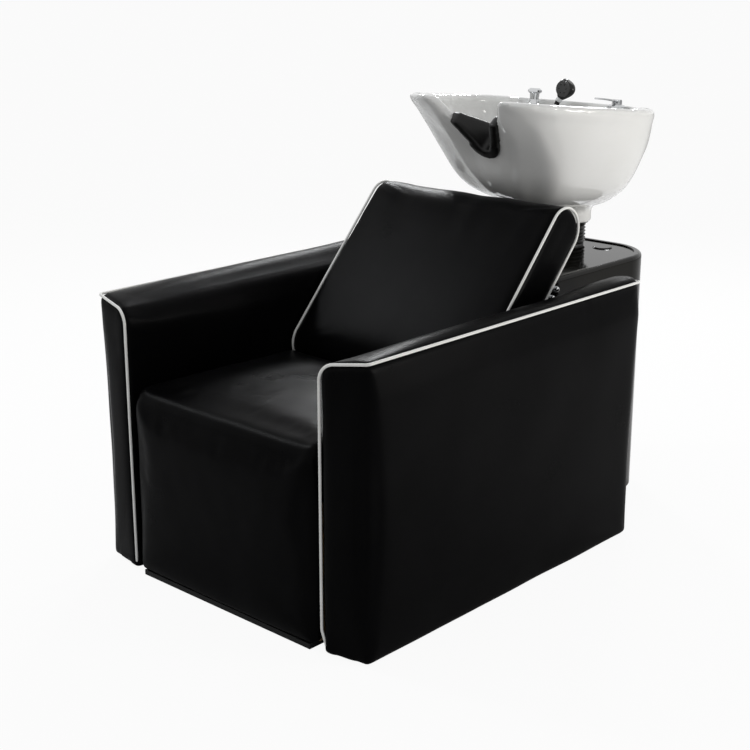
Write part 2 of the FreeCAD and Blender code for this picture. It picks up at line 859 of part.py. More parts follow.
def make_bracket(side):
    """An angle bracket: one leg lies on the backrest's rear face, the other on the pedestal's side wall."""
    back = backrest_rear - soft_gap
    low = bracket_along - bracket_width / 2
    high = bracket_along + bracket_width / 2
    outer_x = pedestal_half_width + bracket_thickness
    leg_centre = side * (outer_x - bracket_flat_half)
    flat = slanted_block(bracket_flat_half, low, high, back - bracket_thickness, back, leg_centre)
    end = back - bracket_reach
    fin_x = min(side * pedestal_half_width, side * outer_x)
    outline = [
        backrest_point(fin_x, low, back),
        backrest_point(fin_x, high, back),
        backrest_point(fin_x, high + bracket_rise, back - bracket_reach / 2),
        backrest_point(fin_x, high + bracket_rise, end),
        backrest_point(fin_x, low + bracket_rise, end),
        backrest_point(fin_x, low, back - bracket_reach / 2),
    ]
    corner = bracket_corner_radius
    fin = prism(rounded_wire(outline, [0, 0, corner, corner, corner, corner]), Vector(bracket_thickness, 0, 0))
    bracket = flat.fuse(fin).removeSplitter()
    outward = Vector(side, 0, 0)
    bolts = []
    for y, z in bracket_bolt_places():
        wall_side = Vector(side * (pedestal_half_width - pedestal_wall), y, z)
        outer_side = Vector(side * outer_x, y, z)
        bracket = bracket.cut(rod(wall_side, outer_side + outward * cut_overrun, bolt_radius))
        bolt = rod(wall_side, outer_side, bolt_radius)
        nut_end = outer_side + outward * cap_nut_barrel
        nut = rod(outer_side, nut_end, cap_nut_radius)
        head = rod(wall_side - outward * bolt_head_height, wall_side, cap_nut_radius)
        dome = Part.makeSphere(cap_nut_radius, nut_end)
        dome = dome.cut(rod(outer_side - outward * cap_nut_radius * 2, nut_end, cap_nut_radius * 2))
        bolts.append(bolt.fuse([nut, dome, head]).removeSplitter())
    screws = []
    for share in wood_screw_shares:
        along = bracket_along + bracket_width * share
        start = backrest_point(side * wood_screw_x, along, back - bracket_thickness)
        screw = rod(start, start + recline_front * wood_screw_length, screw_radius)
        screw = screw.fuse(rod(start - recline_front * screw_radius, start, screw_head_radius))
        bracket = bracket.cut(screw)
        screws.append(screw)
    return bracket, screws, bolts


# Pedestal


def pedestal_block(inset, top_z, edge_radius):
    """The housing's outer form, drawn in by inset on every side."""
    half = pedestal_half_width - inset
    plan = [
        Vector(-half, pedestal_front_y + inset, 0),
        Vector(half, pedestal_front_y + inset, 0),
        Vector(half, pedestal_rear_y - inset, 0),
        Vector(-half, pedestal_rear_y - inset, 0),
    ]
    front = pedestal_front_radius - inset
    rear = pedestal_rear_radius - inset
    body = prism(rounded_wire(plan, [front, front, rear, rear]), Vector(0, 0, top_z))
    top_edges = [edge for edge in body.Edges if edge.BoundBox.ZMin > top_z - pedestal_wall / 4]
    return body.makeFillet(edge_radius, top_edges)


def behind_backrest(gap):
    """Everything in front of a plane that lies behind the backrest by gap."""
    forward = -backrest_radius - backrest_side_draw - gap
    reach = backrest_length * 2
    return slanted_block(overall_width, -reach, reach, forward, reach)


def make_pedestal():
    outer = pedestal_block(0, pedestal_top_z, pedestal_edge_radius).cut(behind_backrest(pedestal_backrest_gap))
    inner_top = tray_support_z
    inner = pedestal_block(pedestal_wall, inner_top, pedestal_edge_radius - pedestal_wall)
    inner = inner.cut(behind_backrest(pedestal_backrest_gap + pedestal_wall))
    inner = inner.fuse(pedestal_base(pedestal_wall))
    shell = outer.cut(inner)
    tray = pedestal_block(pedestal_tray_inset, pedestal_top_z + pedestal_wall, pedestal_wall / 2)
    tray = tray.cut(behind_backrest(pedestal_backrest_gap + pedestal_tray_inset))
    floor_z = pedestal_top_z - pedestal_tray_depth
    tray = tray.cut(block(
        Vector(-overall_width, 0, -cut_overrun),
        Vector(overall_width, pedestal_rear_y + cut_overrun, floor_z),
    ))
    shell = shell.cut(tray)
    down = Vector(0, 0, -cut_overrun)
    up = Vector(0, 0, cut_overrun)
    foot = Vector(0, foot_y, tray_support_z)
    shell = shell.cut(rod(foot + down, Vector(0, foot_y, pedestal_top_z) + up, bellows_hole_radius))
    plug_centre = Vector(plug_x, plug_y, floor_z)
    shell = shell.cut(rod(plug_centre + down, plug_centre + up, plug_stem_radius + hole_clearance))
    plug_profile = (
        (0, -plug_stem_length),
        (plug_stem_radius - screw_radius, -plug_stem_length),
        (plug_stem_radius, -plug_stem_length + screw_radius),
        (plug_stem_radius, 0),
        (plug_radius, 0),
        (plug_radius, plug_cap_height / 2),
        (plug_radius - plug_cap_height, plug_cap_height),
        (0, plug_cap_height),
    )
    plug = turned(plug_profile, plug_centre)

    panel_rear = pedestal_rear_y
    panel_points = [
        Vector(-panel_width / 2, panel_rear - panel_thickness, panel_centre_z - panel_height / 2),
        Vector(panel_width / 2, panel_rear - panel_thickness, panel_centre_z - panel_height / 2),
        Vector(panel_width / 2, panel_rear - panel_thickness, panel_centre_z + panel_height / 2),
        Vector(-panel_width / 2, panel_rear - panel_thickness, panel_centre_z + panel_height / 2),
    ]
    panel_wire = rounded_wire(panel_points, [panel_corner_radius] * 4)
    panel = prism(panel_wire, Vector(0, panel_thickness, 0))
    shell = shell.cut(prism(panel_wire, Vector(0, panel_thickness + cut_overrun, 0)))
    lap = Vector(panel_lap, 0, panel_lap)
    shell = shell.cut(block(
        panel_points[0] + lap - Vector(0, cut_overrun + pedestal_wall, 0),
        panel_points[2] - lap + Vector(0, cut_overrun, 0),
    ))
    screws = []
    for x_side in (-1, 1):
        for z_side in (-1, 1):
            x = x_side * (panel_width - panel_lap) / 2
            z = panel_centre_z + z_side * (panel_height - panel_lap) / 2
            if panel_corner_radius > panel_lap:
                z -= z_side * (panel_corner_radius - panel_lap)
            rear = Vector(x, panel_rear, z)
            forward = Vector(0, -1, 0)
            head = rod(rear, rear + forward * screw_head_height, screw_head_radius)
            screw = head.fuse(rod(rear, rear + forward * screw_length, screw_radius))
            panel = panel.cut(screw)
            shell = shell.cut(screw)
            screws.append(screw)
    bolts = pedestal_bolt_shapes()
    for bolt in bolts:
        shell = shell.cut(bolt)
    for side in (-1, 1):
        for y, z in bracket_bolt_places():
            start = Vector(side * (pedestal_half_width - pedestal_wall - cut_overrun), y, z)
            shell = shell.cut(rod(start, start + Vector(side * (pedestal_wall + 2 * cut_overrun), 0, 0), bolt_radius))
    return {
        "pedestal_shell": shell,
        "pedestal_plug": plug,
        "service_panel": panel,
        "panel_screws": Part.makeCompound(screws),
        "pedestal_bolts": Part.makeCompound(bolts),
    }


def pedestal_base(inset):
    """Overrun below the housing, so that its underside opens."""
    half = pedestal_half_width - inset
    plan = [
        Vector(-half, pedestal_front_y + inset, -cut_overrun),
        Vector(half, pedestal_front_y + inset, -cut_overrun),
        Vector(half, pedestal_rear_y - inset, -cut_overrun),
        Vector(-half, pedestal_rear_y - inset, -cut_overrun),
    ]
    front = pedestal_front_radius - inset
    rear = pedestal_rear_radius - inset
    return prism(rounded_wire(plan, [front, front, rear, rear]), Vector(0, 0, 2 * cut_overrun))


# Steel base frame and plumbing in the pedestal


def make_base_frame():
    plate_top = base_plate_thickness
    plate = block(
        Vector(-base_plate_half_width, base_plate_front_y, 0),
        Vector(base_plate_half_width, base_plate_rear_y, plate_top),
    )
    plate_centre_y = (base_plate_front_y + base_plate_rear_y) / 2
    for x_side in (-1, 1):
        for y_side in (-1, 1):
            centre = Vector(x_side * anchor_spacing_x / 2, plate_centre_y + y_side * anchor_spacing_y / 2, -cut_overrun)
            plate = plate.cut(rod(centre, centre + Vector(0, 0, plate_top + 2 * cut_overrun), anchor_hole_radius))
    flange_low = tray_support_z - tilt_flange_thickness
    plate_low = flange_low - top_plate_thickness
    half = column_half
    column = block(Vector(-half, foot_y - half, 0), Vector(half, foot_y + half, plate_low))
    hollow = half - column_wall
    opening = block(Vector(-hollow, foot_y - hollow, -cut_overrun), Vector(hollow, foot_y + hollow, plate_low))
    top_low = Vector(-top_plate_half, foot_y - top_plate_half, plate_low)
    top_high = Vector(top_plate_half, foot_y + top_plate_half, flange_low)
    frame = plate.fuse(column).cut(opening).fuse(block(top_low, top_high))
    shelf_low = Vector(-hollow, foot_y - hollow, shelf_z)
    frame = frame.fuse(block(shelf_low, Vector(hollow, foot_y + hollow, shelf_z + shelf_thickness)))
    gusset_y = foot_y - half
    points = [
        Vector(-gusset_thickness / 2, gusset_y, plate_top),
        Vector(-gusset_thickness / 2, gusset_y - gusset_length, plate_top),
        Vector(-gusset_thickness / 2, gusset_y, plate_top + gusset_height),
    ]
    frame = frame.fuse(prism(Part.makePolygon(points + [points[0]]), Vector(gusset_thickness, 0, 0)))
    frame = frame.removeSplitter()
    through = Vector(0, 0, cut_overrun)
    slot = tilt_slot(plate_low - cut_overrun, flange_low + cut_overrun)
    frame = frame.cut(slot)
    spigot = Vector(0, drain_y, shelf_z)
    top = Vector(0, 0, shelf_thickness)
    frame = frame.cut(rod(spigot - through, spigot + top + through, waste_spigot_radius + spigot_shoulder))
    for side in (-1, 1):
        inlet = Vector(side * inlet_spread, inlet_y, shelf_z)
        frame = frame.cut(rod(inlet - through, inlet + top + through, inlet_radius + spigot_shoulder))
    bolts = tilt_bolt_shapes()
    for bolt in bolts:
        frame = frame.cut(bolt)

    shelf_top = shelf_z + shelf_thickness
    outlet = tube(
        Vector(0, drain_y, waste_spigot_low_z),
        Vector(0, drain_y, shelf_top + waste_hub_height),
        waste_spigot_radius,
        waste_spigot_bore - waste_hose_wall,
    )
    neck = tube(
        Vector(0, drain_y, shelf_z),
        Vector(0, drain_y, shelf_top),
        waste_spigot_radius + spigot_shoulder,
        waste_spigot_bore,
    )
    collar = tube(
        Vector(0, drain_y, shelf_top),
        Vector(0, drain_y, shelf_top + waste_spigot_collar_height),
        waste_spigot_collar_radius,
        waste_spigot_bore,
    )
    outlet = outlet.fuse([neck, collar]).removeSplitter()
    hub_low = shelf_top + waste_spigot_collar_height
    outlet = outlet.cut(tube(
        Vector(0, drain_y, hub_low),
        Vector(0, drain_y, shelf_top + waste_hub_height + cut_overrun),
        waste_spigot_collar_radius,
        waste_hose_bore,
    ))
    hose = tube(
        Vector(0, drain_y, hub_low),
        Vector(0, drain_y, waste_socket_z),
        waste_hose_bore + waste_hose_wall,
        waste_hose_bore,
    )
    inlets = []
    for side in (-1, 1):
        x = side * inlet_spread
        nipple = tube(Vector(x, inlet_y, inlet_low_z), Vector(x, inlet_y, shelf_top), inlet_radius, inlet_bore)
        shoulder = tube(
            Vector(x, inlet_y, shelf_top),
            Vector(x, inlet_y, shelf_top + inlet_collar_height),
            inlet_collar_radius,
            inlet_bore,
        )
        neck = tube(
            Vector(x, inlet_y, shelf_z),
            Vector(x, inlet_y, shelf_top),
            inlet_radius + spigot_shoulder,
            inlet_bore,
        )
        inlets.append(nipple.fuse([neck, shoulder]).removeSplitter())
    return {
        "base_frame": frame,
        "tilt_bolts": Part.makeCompound(bolts),
        "waste_outlet": outlet,
        "waste_hose": hose,
        "inlet_fittings": Part.makeCompound(inlets),
        "supply_hoses": make_supply_hoses(),
    }


def make_supply_hoses():
    """Hot and cold hoses, from the inlets up the column and the bellows to the mixer under the deck."""
    hoses = []
    start_z = shelf_z + shelf_thickness + inlet_collar_height
    for side in (-1, 1):
        mixer_side = mixer_x + side * supply_spread
        points = [
            Vector(side * inlet_spread, inlet_y, start_z),
            Vector(side * inlet_spread, inlet_y, start_z + supply_first_rise),
            Vector(side * supply_spread, supply_y, start_z + supply_second_rise),
            Vector(side * supply_spread, supply_y, hollow_low_z + supply_third_rise),
            Vector(mixer_side, supply_y + supply_radius, hollow_low_z + supply_fourth_rise),
            Vector(mixer_side, supply_y + supply_radius, mixer_shank_end_z() - supply_radius * math.tan(bowl_slope)),
        ]
        radii = [0, supply_bend, supply_bend, supply_upper_bend, supply_upper_bend, 0]
        hoses.append(cord(rounded_wire(points, radii, closed=False), supply_radius))
    return Part.makeCompound(hoses)


# Tilt joint


def tilt_slot(low_z, high_z):
    """Opening in the middle of the tilt base for the waste and the hoses."""
    low = Vector(-tilt_slot_half_width, foot_y - tilt_slot_half_length, low_z)
    return block(low, Vector(tilt_slot_half_width, foot_y + tilt_slot_half_length, high_z))


def tilt_bolt_shapes():
    """Four bolts that hold the tilt base down on the frame's top plate."""
    flange_top = tray_support_z
    low_z = flange_top - tilt_flange_thickness - top_plate_thickness
    shapes = []
    for turn in range(4):
        angle = math.pi / 4 + turn * math.pi / 2
        x = tilt_bolt_circle * math.cos(angle)
        y = foot_y + tilt_bolt_circle * math.sin(angle)
        low = Vector(x, y, low_z)
        bolt = rod(low, Vector(x, y, flange_top), bolt_radius)
        nut = hexagon(low - Vector(0, 0, bolt_head_height), bolt_head_radius, bolt_head_height)
        shapes.append(bolt.fuse(nut))
    return shapes


def upright_ear(inner_x, thickness, half_width, base_z, bore):
    """A plate standing in the YZ plane, rounded over the pivot and bored for its pin."""
    low = Vector(inner_x, foot_y - half_width, base_z)
    ear = block(low, Vector(inner_x + thickness, foot_y + half_width, pivot_z))
    centre = Vector(inner_x, foot_y, pivot_z)
    sideways = Vector(thickness, 0, 0)
    ear = ear.fuse(rod(centre, centre + sideways, half_width)).removeSplitter()
    over = Vector(cut_overrun, 0, 0)
    return ear.cut(rod(centre - over, centre + sideways + over, bore))


def hanging_lug(inner_x, thickness, half_width, top_z, bore):
    """A plate hanging in the YZ plane from the tilt head, rounded under the pivot and bored for its pin."""
    high = Vector(inner_x + thickness, foot_y + half_width, top_z)
    lug = block(Vector(inner_x, foot_y - half_width, pivot_z), high)
    centre = Vector(inner_x, foot_y, pivot_z)
    sideways = Vector(thickness, 0, 0)
    lug = lug.fuse(rod(centre, centre + sideways, half_width)).removeSplitter()
    over = Vector(cut_overrun, 0, 0)
    return lug.cut(rod(centre - over, centre + sideways + over, bore))


def make_tilt():
    flange_low = tray_support_z - tilt_flange_thickness
    centre = Vector(0, foot_y, flange_low)
    base = rod(centre, Vector(0, foot_y, tray_support_z), tilt_flange_radius)
    base = base.cut(tilt_slot(flange_low - cut_overrun, tray_support_z + cut_overrun))
    ear_inner_x = lug_inner_x + lug_thickness + washer_thickness + 2 * washer_side_gap
    ear = upright_ear(ear_inner_x, ear_thickness, ear_half_width, tray_support_z, trunnion_radius)
    base = base.fuse([ear, mirrored(ear)]).removeSplitter()
    for bolt in tilt_bolt_shapes():
        base = base.cut(bolt)

    plate_top = foot_bore_top_z
    plate_low = plate_top - tilt_plate_thickness
    head = rod(Vector(0, foot_y, plate_low), Vector(0, foot_y, plate_top), tilt_plate_radius)
    lug = hanging_lug(lug_inner_x, lug_thickness, lug_half_width, plate_low, trunnion_radius + pin_clearance)
    head = head.fuse([lug, mirrored(lug)]).removeSplitter()
    drain = Vector(0, drain_y, plate_low - cut_overrun)
    up = Vector(0, 0, tilt_plate_thickness + 2 * cut_overrun)
    head = head.cut(rod(drain, drain + up, drain_tube_radius + hole_clearance))
    notch_half = supply_spread + supply_radius + supply_gap
    notch_low = Vector(-notch_half, supply_y - supply_radius - supply_gap, plate_low - cut_overrun)
    notch_high = Vector(notch_half, foot_y + tilt_plate_radius + cut_overrun, plate_top + cut_overrun)
    head = head.cut(block(notch_low, notch_high))

    pins = []
    washers = []
    washer_x = lug_inner_x + lug_thickness + washer_side_gap
    for side in (-1, 1):
        inner = Vector(side * lug_inner_x, foot_y, pivot_z)
        outer = Vector(side * (ear_inner_x + ear_thickness), foot_y, pivot_z)
        outward = Vector(side, 0, 0)
        pin = rod(inner, outer, trunnion_radius)
        pins.append(pin.fuse(rod(outer, outer + outward * trunnion_head_height, trunnion_head_radius)))
        start = Vector(side * washer_x, foot_y, pivot_z)
        washers.append(tube(start, start + outward * washer_thickness, washer_radius, trunnion_radius + pin_clearance))
    return {
        "tilt_base": base,
        "tilt_head": head,
        "tilt_pins": Part.makeCompound(pins),
        "friction_washers": Part.makeCompound(washers),
        "bellows": make_bellows(),
        "bellows_clamp": make_bellows_clamp(),
    }


def bellows_floor_z():
    return pedestal_top_z - pedestal_tray_depth


def make_bellows():
    """Ribbed rubber gaiter, turned from a zigzag wall."""
    low = bellows_floor_z()
    high = foot_bottom_z - bellows_top_gap
    cuff = bellows_cuff_height
    pitch = (high - low - 2 * cuff) / bellows_ribs
    outer = [(bellows_valley_radius, 0), (bellows_valley_radius, cuff)]
    for rib in range(bellows_ribs):
        start = cuff + rib * pitch
        outer.append((bellows_outer_radius, start + pitch / 2))
        outer.append((bellows_valley_radius, start + pitch))
    outer.append((bellows_valley_radius, high - low))
    inner = [(radius - bellows_wall, height) for radius, height in reversed(outer)]
    outer[-1:] = [
        (bellows_valley_radius, high - low - bellows_wall),
        (bellows_flange_radius, high - low - bellows_wall),
        (bellows_flange_radius, high - low),
    ]
    return turned(tuple(outer + inner), Vector(0, foot_y, low))


def make_bellows_clamp():
    low = Vector(0, foot_y, bellows_floor_z())
    high = low + Vector(0, 0, clamp_height)
    radius = bellows_valley_radius + piping_clearance
    return tube(low, high, radius + clamp_thickness, radius)


# Bowl


def slope_at(height):
    share = max(0.0, height - bowl_slope_start) / (bowl_rim_height - bowl_slope_start)
    return bowl_slope * min(1.0, share)


def bowl_section(height, front, rear, half, flat, inset=0.0, dish=0.0):
    """One level of the bowl in plan, a smooth loop: nearly flat across the front and the rear, with oval
    quarters between, on a plane that slopes down to the rear more and more towards the rim."""
    front -= inset
    rear -= inset
    half -= inset
    wide = bowl_wide_share * (front - foot_radius)
    tangent = math.tan(slope_at(height))

    def place(x, y):
        return Vector(x, foot_y + y, foot_bottom_z + height - y * tangent)

    def quarter(flat_half, reach, turn_from, turn_to):
        points = []
        for step in range(bowl_quarter_steps + 1):
            angle = turn_from + (turn_to - turn_from) * step / bowl_quarter_steps
            x = flat_half + (half - flat_half) * math.cos(angle)
            points.append(place(x, reach * math.sin(angle) - wide))
        return points

    front_flat = flat * half
    rear_flat = front_flat * bowl_rear_flat_share
    right = math.pi / 2
    side = []
    for place_share, depth_share in zip(bowl_dish_place_shares, bowl_dish_depth_shares):
        side.append(place(front_flat * place_share, dish * depth_share - front))
    side += quarter(front_flat, front - wide, -right, 0)
    side += quarter(rear_flat, rear + wide, 0, right)[1:]
    other_side = [Vector(-point.x, point.y, point.z) for point in side]
    loop = [place(0, rear)] + other_side[::-1] + [place(0, dish - front)] + side
    curve = Part.BSplineCurve()
    curve.interpolate(Points=loop, PeriodicFlag=True)
    return Part.Wire(curve.toShape())


def bowl_form(inset):
    """The bowl's outer form, drawn in by inset in plan."""
    sections = []
    rows = zip(bowl_heights, bowl_fronts, bowl_rears, bowl_halves, bowl_dishes)
    for height, front, rear, half, dish in rows:
        opened = (half - foot_radius) / (bowl_rim_half - foot_radius)
        flat = max(bowl_least_flat_share, bowl_flat_share * opened)
        sections.append(bowl_section(height, front, rear, half, flat, inset, dish))
    return Part.makeLoft(sections, True)


def basin_form():
    sections = []
    rows = zip(basin_heights, basin_fronts, basin_rears, basin_halves, basin_flat_shares)
    for height, front, rear, half, flat in rows:
        sections.append(bowl_section(height, front, rear, half, max(bowl_least_flat_share, flat)))
    return Part.makeLoft(sections, True)


def rim_z(y):
    """Height of the rim plane at a place along Y."""
    return foot_bottom_z + bowl_rim_height - (y - foot_y) * math.tan(bowl_slope)


def deck_z(y):
    return rim_z(y) - deck_depth


def notch_tool():
    """A V-shaped channel with a round bottom, cut through the front of the bowl for the neck."""
    front_y = foot_y - bowl_rim_front - notch_margin
    top_z = rim_z(foot_y - bowl_rim_front) + hole_clearance
    vertex_z = notch_bottom_z + notch_bottom_radius * (1 - 1 / math.sin(notch_side_angle))
    corner_x = (top_z - vertex_z) * math.tan(notch_side_angle)
    points = []
    for x, z in (
        (-corner_x - notch_margin, top_z + notch_margin),
        (-corner_x - notch_margin, top_z),
        (-corner_x, top_z),
        (0, vertex_z),
        (corner_x, top_z),
        (corner_x + notch_margin, top_z),
        (corner_x + notch_margin, top_z + notch_margin),
    ):
        points.append(Vector(x, front_y, z))
    radii = [0, 0, notch_corner_radius, notch_bottom_radius, notch_corner_radius, 0, 0]
    return prism(rounded_wire(points, radii), Vector(0, notch_rear_y - front_y, 0))


def deck_cut():
    """The sunk shelf for the taps behind the basin, parallel to the rim, with the rim's lip left round it."""
    points = []
    for x, y in (
        (-deck_half_width, deck_front_y),
        (deck_half_width, deck_front_y),
        (deck_half_width, pedestal_rear_y),
        (-deck_half_width, pedestal_rear_y),
    ):
        points.append(Vector(x, y, deck_z(y)))
    wire = Part.makePolygon(points + [points[0]])
    return prism(wire, Vector(0, 0, deck_depth + bowl_wall)).common(tall_bowl_form(deck_lip))


def tall_bowl_form(inset):
    """An upright bar with the rim's outline, drawn in by inset."""
    rim = bowl_section(bowl_rim_height, bowl_fronts[-1], bowl_rears[-1], bowl_rim_half, bowl_flat_share, inset)
    rim.translate(Vector(0, 0, -bowl_rim_height / 2))
    return prism(rim, Vector(0, 0, bowl_rim_height))


def deck_frame(shape, x, y, lean=0.0):
    """Sets a piece that was drawn upright at the origin on the deck at (x, y), square to it."""
    placed = shape.copy()
    placed.rotate(Vector(0, 0, 0), Vector(0, 1, 0), math.degrees(lean))
    placed.rotate(Vector(0, 0, 0), Vector(1, 0, 0), -math.degrees(bowl_slope))
    placed.translate(Vector(x, y, deck_z(y)))
    return placed


def mixer_shank_end_z():
    return deck_z(deck_tap_y) - deck_thickness - mixer_shank_length


def make_bowl():
    outer = bowl_form(0)
    bowl = outer.cut(basin_form())
    bowl = bowl.cut(notch_tool())
    bowl = bowl.cut(deck_cut())
    hollow = bowl_form(bowl_wall)
    bowl = bowl.cut(hollow.common(hollow_bar()))
    down = Vector(0, 0, cut_overrun)
    bore_top = Vector(0, foot_y, foot_bore_top_z)
    bowl = bowl.cut(rod(Vector(0, foot_y, foot_bottom_z) - down, bore_top, foot_bore_radius))
    drain_floor = foot_bottom_z + basin_heights[0]
    drain = Vector(0, drain_y, drain_floor)
    bowl = bowl.cut(rod(Vector(0, drain_y, foot_bore_top_z) - down, drain + down, drain_tube_radius + hole_clearance))
    seat_depth = Vector(0, 0, drain_flange_thickness + drain_seal_thickness)
    bowl = bowl.cut(rod(drain - seat_depth, drain + down, drain_flange_radius + hole_clearance))
    for shape, x, y in deck_shanks():
        bowl = bowl.cut(deck_frame(shape, x, y))
    bowl = bowl.cut(access_tool(access_half_width, access_half_height, bowl_wall * 4))
    return bowl


def hollow_bar():
    """The space for hoses behind the basin, with its top parallel to the deck."""
    x = -hollow_half_width
    points = [
        Vector(x, hollow_front_y, hollow_low_z),
        Vector(x, pedestal_rear_y, hollow_low_z),
        Vector(x, pedestal_rear_y, deck_z(pedestal_rear_y) - deck_thickness),
        Vector(x, hollow_front_y, deck_z(hollow_front_y) - deck_thickness),
    ]
    return prism(Part.makePolygon(points + [points[0]]), Vector(2 * hollow_half_width, 0, 0))


def deck_shanks():
    """Holes through the deck for the taps' shanks, with where each stands."""
    deep = Vector(0, 0, -2 * deck_thickness)
    high = Vector(0, 0, cut_overrun)
    return [
        (rod(deep, high, mixer_shank_radius + hole_clearance), mixer_x, deck_tap_y),
        (rod(deep, high, breaker_shank_radius + hole_clearance), breaker_x, breaker_y),
        (rod(deep, high, guide_shank_radius + hole_clearance), spray_x, deck_tap_y),
    ]


def access_tool(half_width, half_height, depth):
    """An oval bar that points forward through the rear wall."""
    rear_y = foot_y + bowl_rim_half / 2
    points = []
    for x, z in ((-1, -1), (1, -1), (1, 1), (-1, 1)):
        points.append(Vector(x * half_width, rear_y, access_centre_z + z * half_height))
    wire = rounded_wire(points, [half_height * access_corner_share] * 4)
    return prism(wire, Vector(0, foot_y + bowl_rears[-1] - rear_y - depth, 0))


def make_access_cover():
    """Cover for the access hole: a plug that follows the curve of the rear wall."""
    plug = access_tool(access_half_width - soft_gap, access_half_height - soft_gap, bowl_wall * 2)
    return plug.common(bowl_form(hole_clearance)).cut(bowl_form(access_thickness + hole_clearance))


def make_bowl_fittings():
    floor_z = foot_bottom_z + basin_heights[0]
    flange_top = floor_z
    flange_low = flange_top - drain_flange_thickness
    seal_low = flange_low - drain_seal_thickness
    centre = Vector(0, drain_y, 0)

    def at(z):
        return centre + Vector(0, 0, z)

    flange = tube(at(flange_low), at(flange_top), drain_flange_radius, strainer_cup_radius + soft_gap)
    stem = tube(at(drain_tube_end_z), at(flange_low), drain_tube_radius, drain_tube_radius - drain_tube_wall)
    flange = flange.fuse(stem).removeSplitter()
    rim_low = at(flange_top - strainer_rim_thickness)
    flange = flange.cut(rod(rim_low, at(flange_top + cut_overrun), strainer_radius + hole_clearance))
    seal = tube(at(seal_low), at(flange_low), drain_flange_radius, drain_tube_radius + hole_clearance)
    plate_low = foot_bore_top_z - tilt_plate_thickness
    nut = hexagon(at(plate_low - drain_nut_height), drain_nut_radius, drain_nut_height)
    nut = nut.cut(rod(at(plate_low - drain_nut_height - cut_overrun), at(plate_low + cut_overrun), drain_tube_radius))
    tail = tube(at(tailpiece_end_z), at(drain_tube_end_z), drain_tube_radius, drain_tube_radius - drain_tube_wall)
    tail = tail.fuse(tube(
        at(drain_tube_end_z - tailpiece_collar_height),
        at(drain_tube_end_z),
        tailpiece_collar_radius,
        drain_tube_radius - drain_tube_wall,
    )).removeSplitter()

    rim = tube(rim_low, at(flange_top), strainer_radius, strainer_cup_radius)
    cup_low = flange_top - strainer_cup_depth
    cup = tube(at(cup_low), at(flange_top), strainer_cup_radius, strainer_cup_radius - strainer_wall)
    floor = rod(at(cup_low), at(cup_low + strainer_wall), strainer_cup_radius)
    strainer = rim.fuse([cup, floor]).removeSplitter()
    for index in range(strainer_slots):
        angle = index * 2 * math.pi / strainer_slots
        radius = (strainer_radius + strainer_cup_radius) / 2
        place = at(flange_top) + Vector(radius * math.cos(angle), radius * math.sin(angle), 0)
        hole = rod(place - Vector(0, 0, cut_overrun), place + Vector(0, 0, cut_overrun), strainer_slot_width)
        strainer = strainer.cut(hole)
    return {
        "drain_flange": flange,
        "drain_seal": seal,
        "drain_nut": nut,
        "tailpiece": tail,
        "hair_strainer": strainer,
    }


# Taps on the deck


def make_mixer():
    upright = Vector(0, 0, 1)
    ground = Vector(0, 0, 0)
    body_top = mixer_flange_height + mixer_body_height
    body_profile = (
        (0, 0),
        (mixer_flange_radius, 0),
        (mixer_flange_radius, mixer_flange_height / 2),
        (mixer_body_radius + mixer_flange_height / 2, mixer_flange_height),
        (mixer_body_radius, mixer_flange_height + mixer_flange_height / 2),
        (mixer_body_radius, body_top),
        (mixer_spindle_radius, body_top),
        (mixer_spindle_radius, body_top + mixer_spindle_height),
        (0, body_top + mixer_spindle_height),
    )
    body = turned(body_profile, ground)
    shank = rod(upright * -(deck_thickness + mixer_shank_length), ground, mixer_shank_radius)
    cap_low = body_top + mixer_cap_gap
    cap_top = cap_low + mixer_cap_height
    bore = mixer_spindle_radius + pin_clearance
    bore_top = body_top + mixer_spindle_height + mixer_cap_gap
    crown = []
    for radius_share, height_share in zip(mixer_cap_radius_shares, mixer_cap_height_shares):
        crown.append((mixer_cap_radius * radius_share, cap_low + mixer_cap_height * height_share))
    cap_profile = (
        (bore, cap_low),
        (mixer_cap_radius, cap_low),
        *crown,
        (0, cap_top),
        (0, bore_top),
        (bore, bore_top),
    )
    cap = turned(cap_profile, ground)
    fork_half = lever_fork_width / 2
    pin_z = cap_top + lever_ear_height - lever_pin_radius * 2
    ear_half = lever_pin_radius * 2
    for side in (-1, 1):
        inner_x = side * (fork_half + lever_fork_gap)
        outer_x = side * (fork_half + lever_fork_gap + lever_ear_thickness)
        low = Vector(min(inner_x, outer_x), -ear_half, cap_top - lever_ear_sink)
        high = Vector(max(inner_x, outer_x), ear_half, pin_z)
        ear = block(low, high).fuse(rod(Vector(inner_x, 0, pin_z), Vector(outer_x, 0, pin_z), ear_half))
        cap = cap.fuse(ear)
    pin_half = fork_half + lever_fork_gap + lever_ear_thickness
    pin = rod(Vector(-pin_half, 0, pin_z), Vector(pin_half, 0, pin_z), lever_pin_radius)
    cap = cap.removeSplitter().fuse(pin).removeSplitter()

    lever = make_lever(pin_z, fork_half)
    return {
        "mixer_body": deck_frame(body.fuse(shank).removeSplitter(), mixer_x, deck_tap_y),
        "mixer_cap": deck_frame(cap, mixer_x, deck_tap_y),
        "mixer_lever": deck_frame(lever, mixer_x, deck_tap_y),
    }


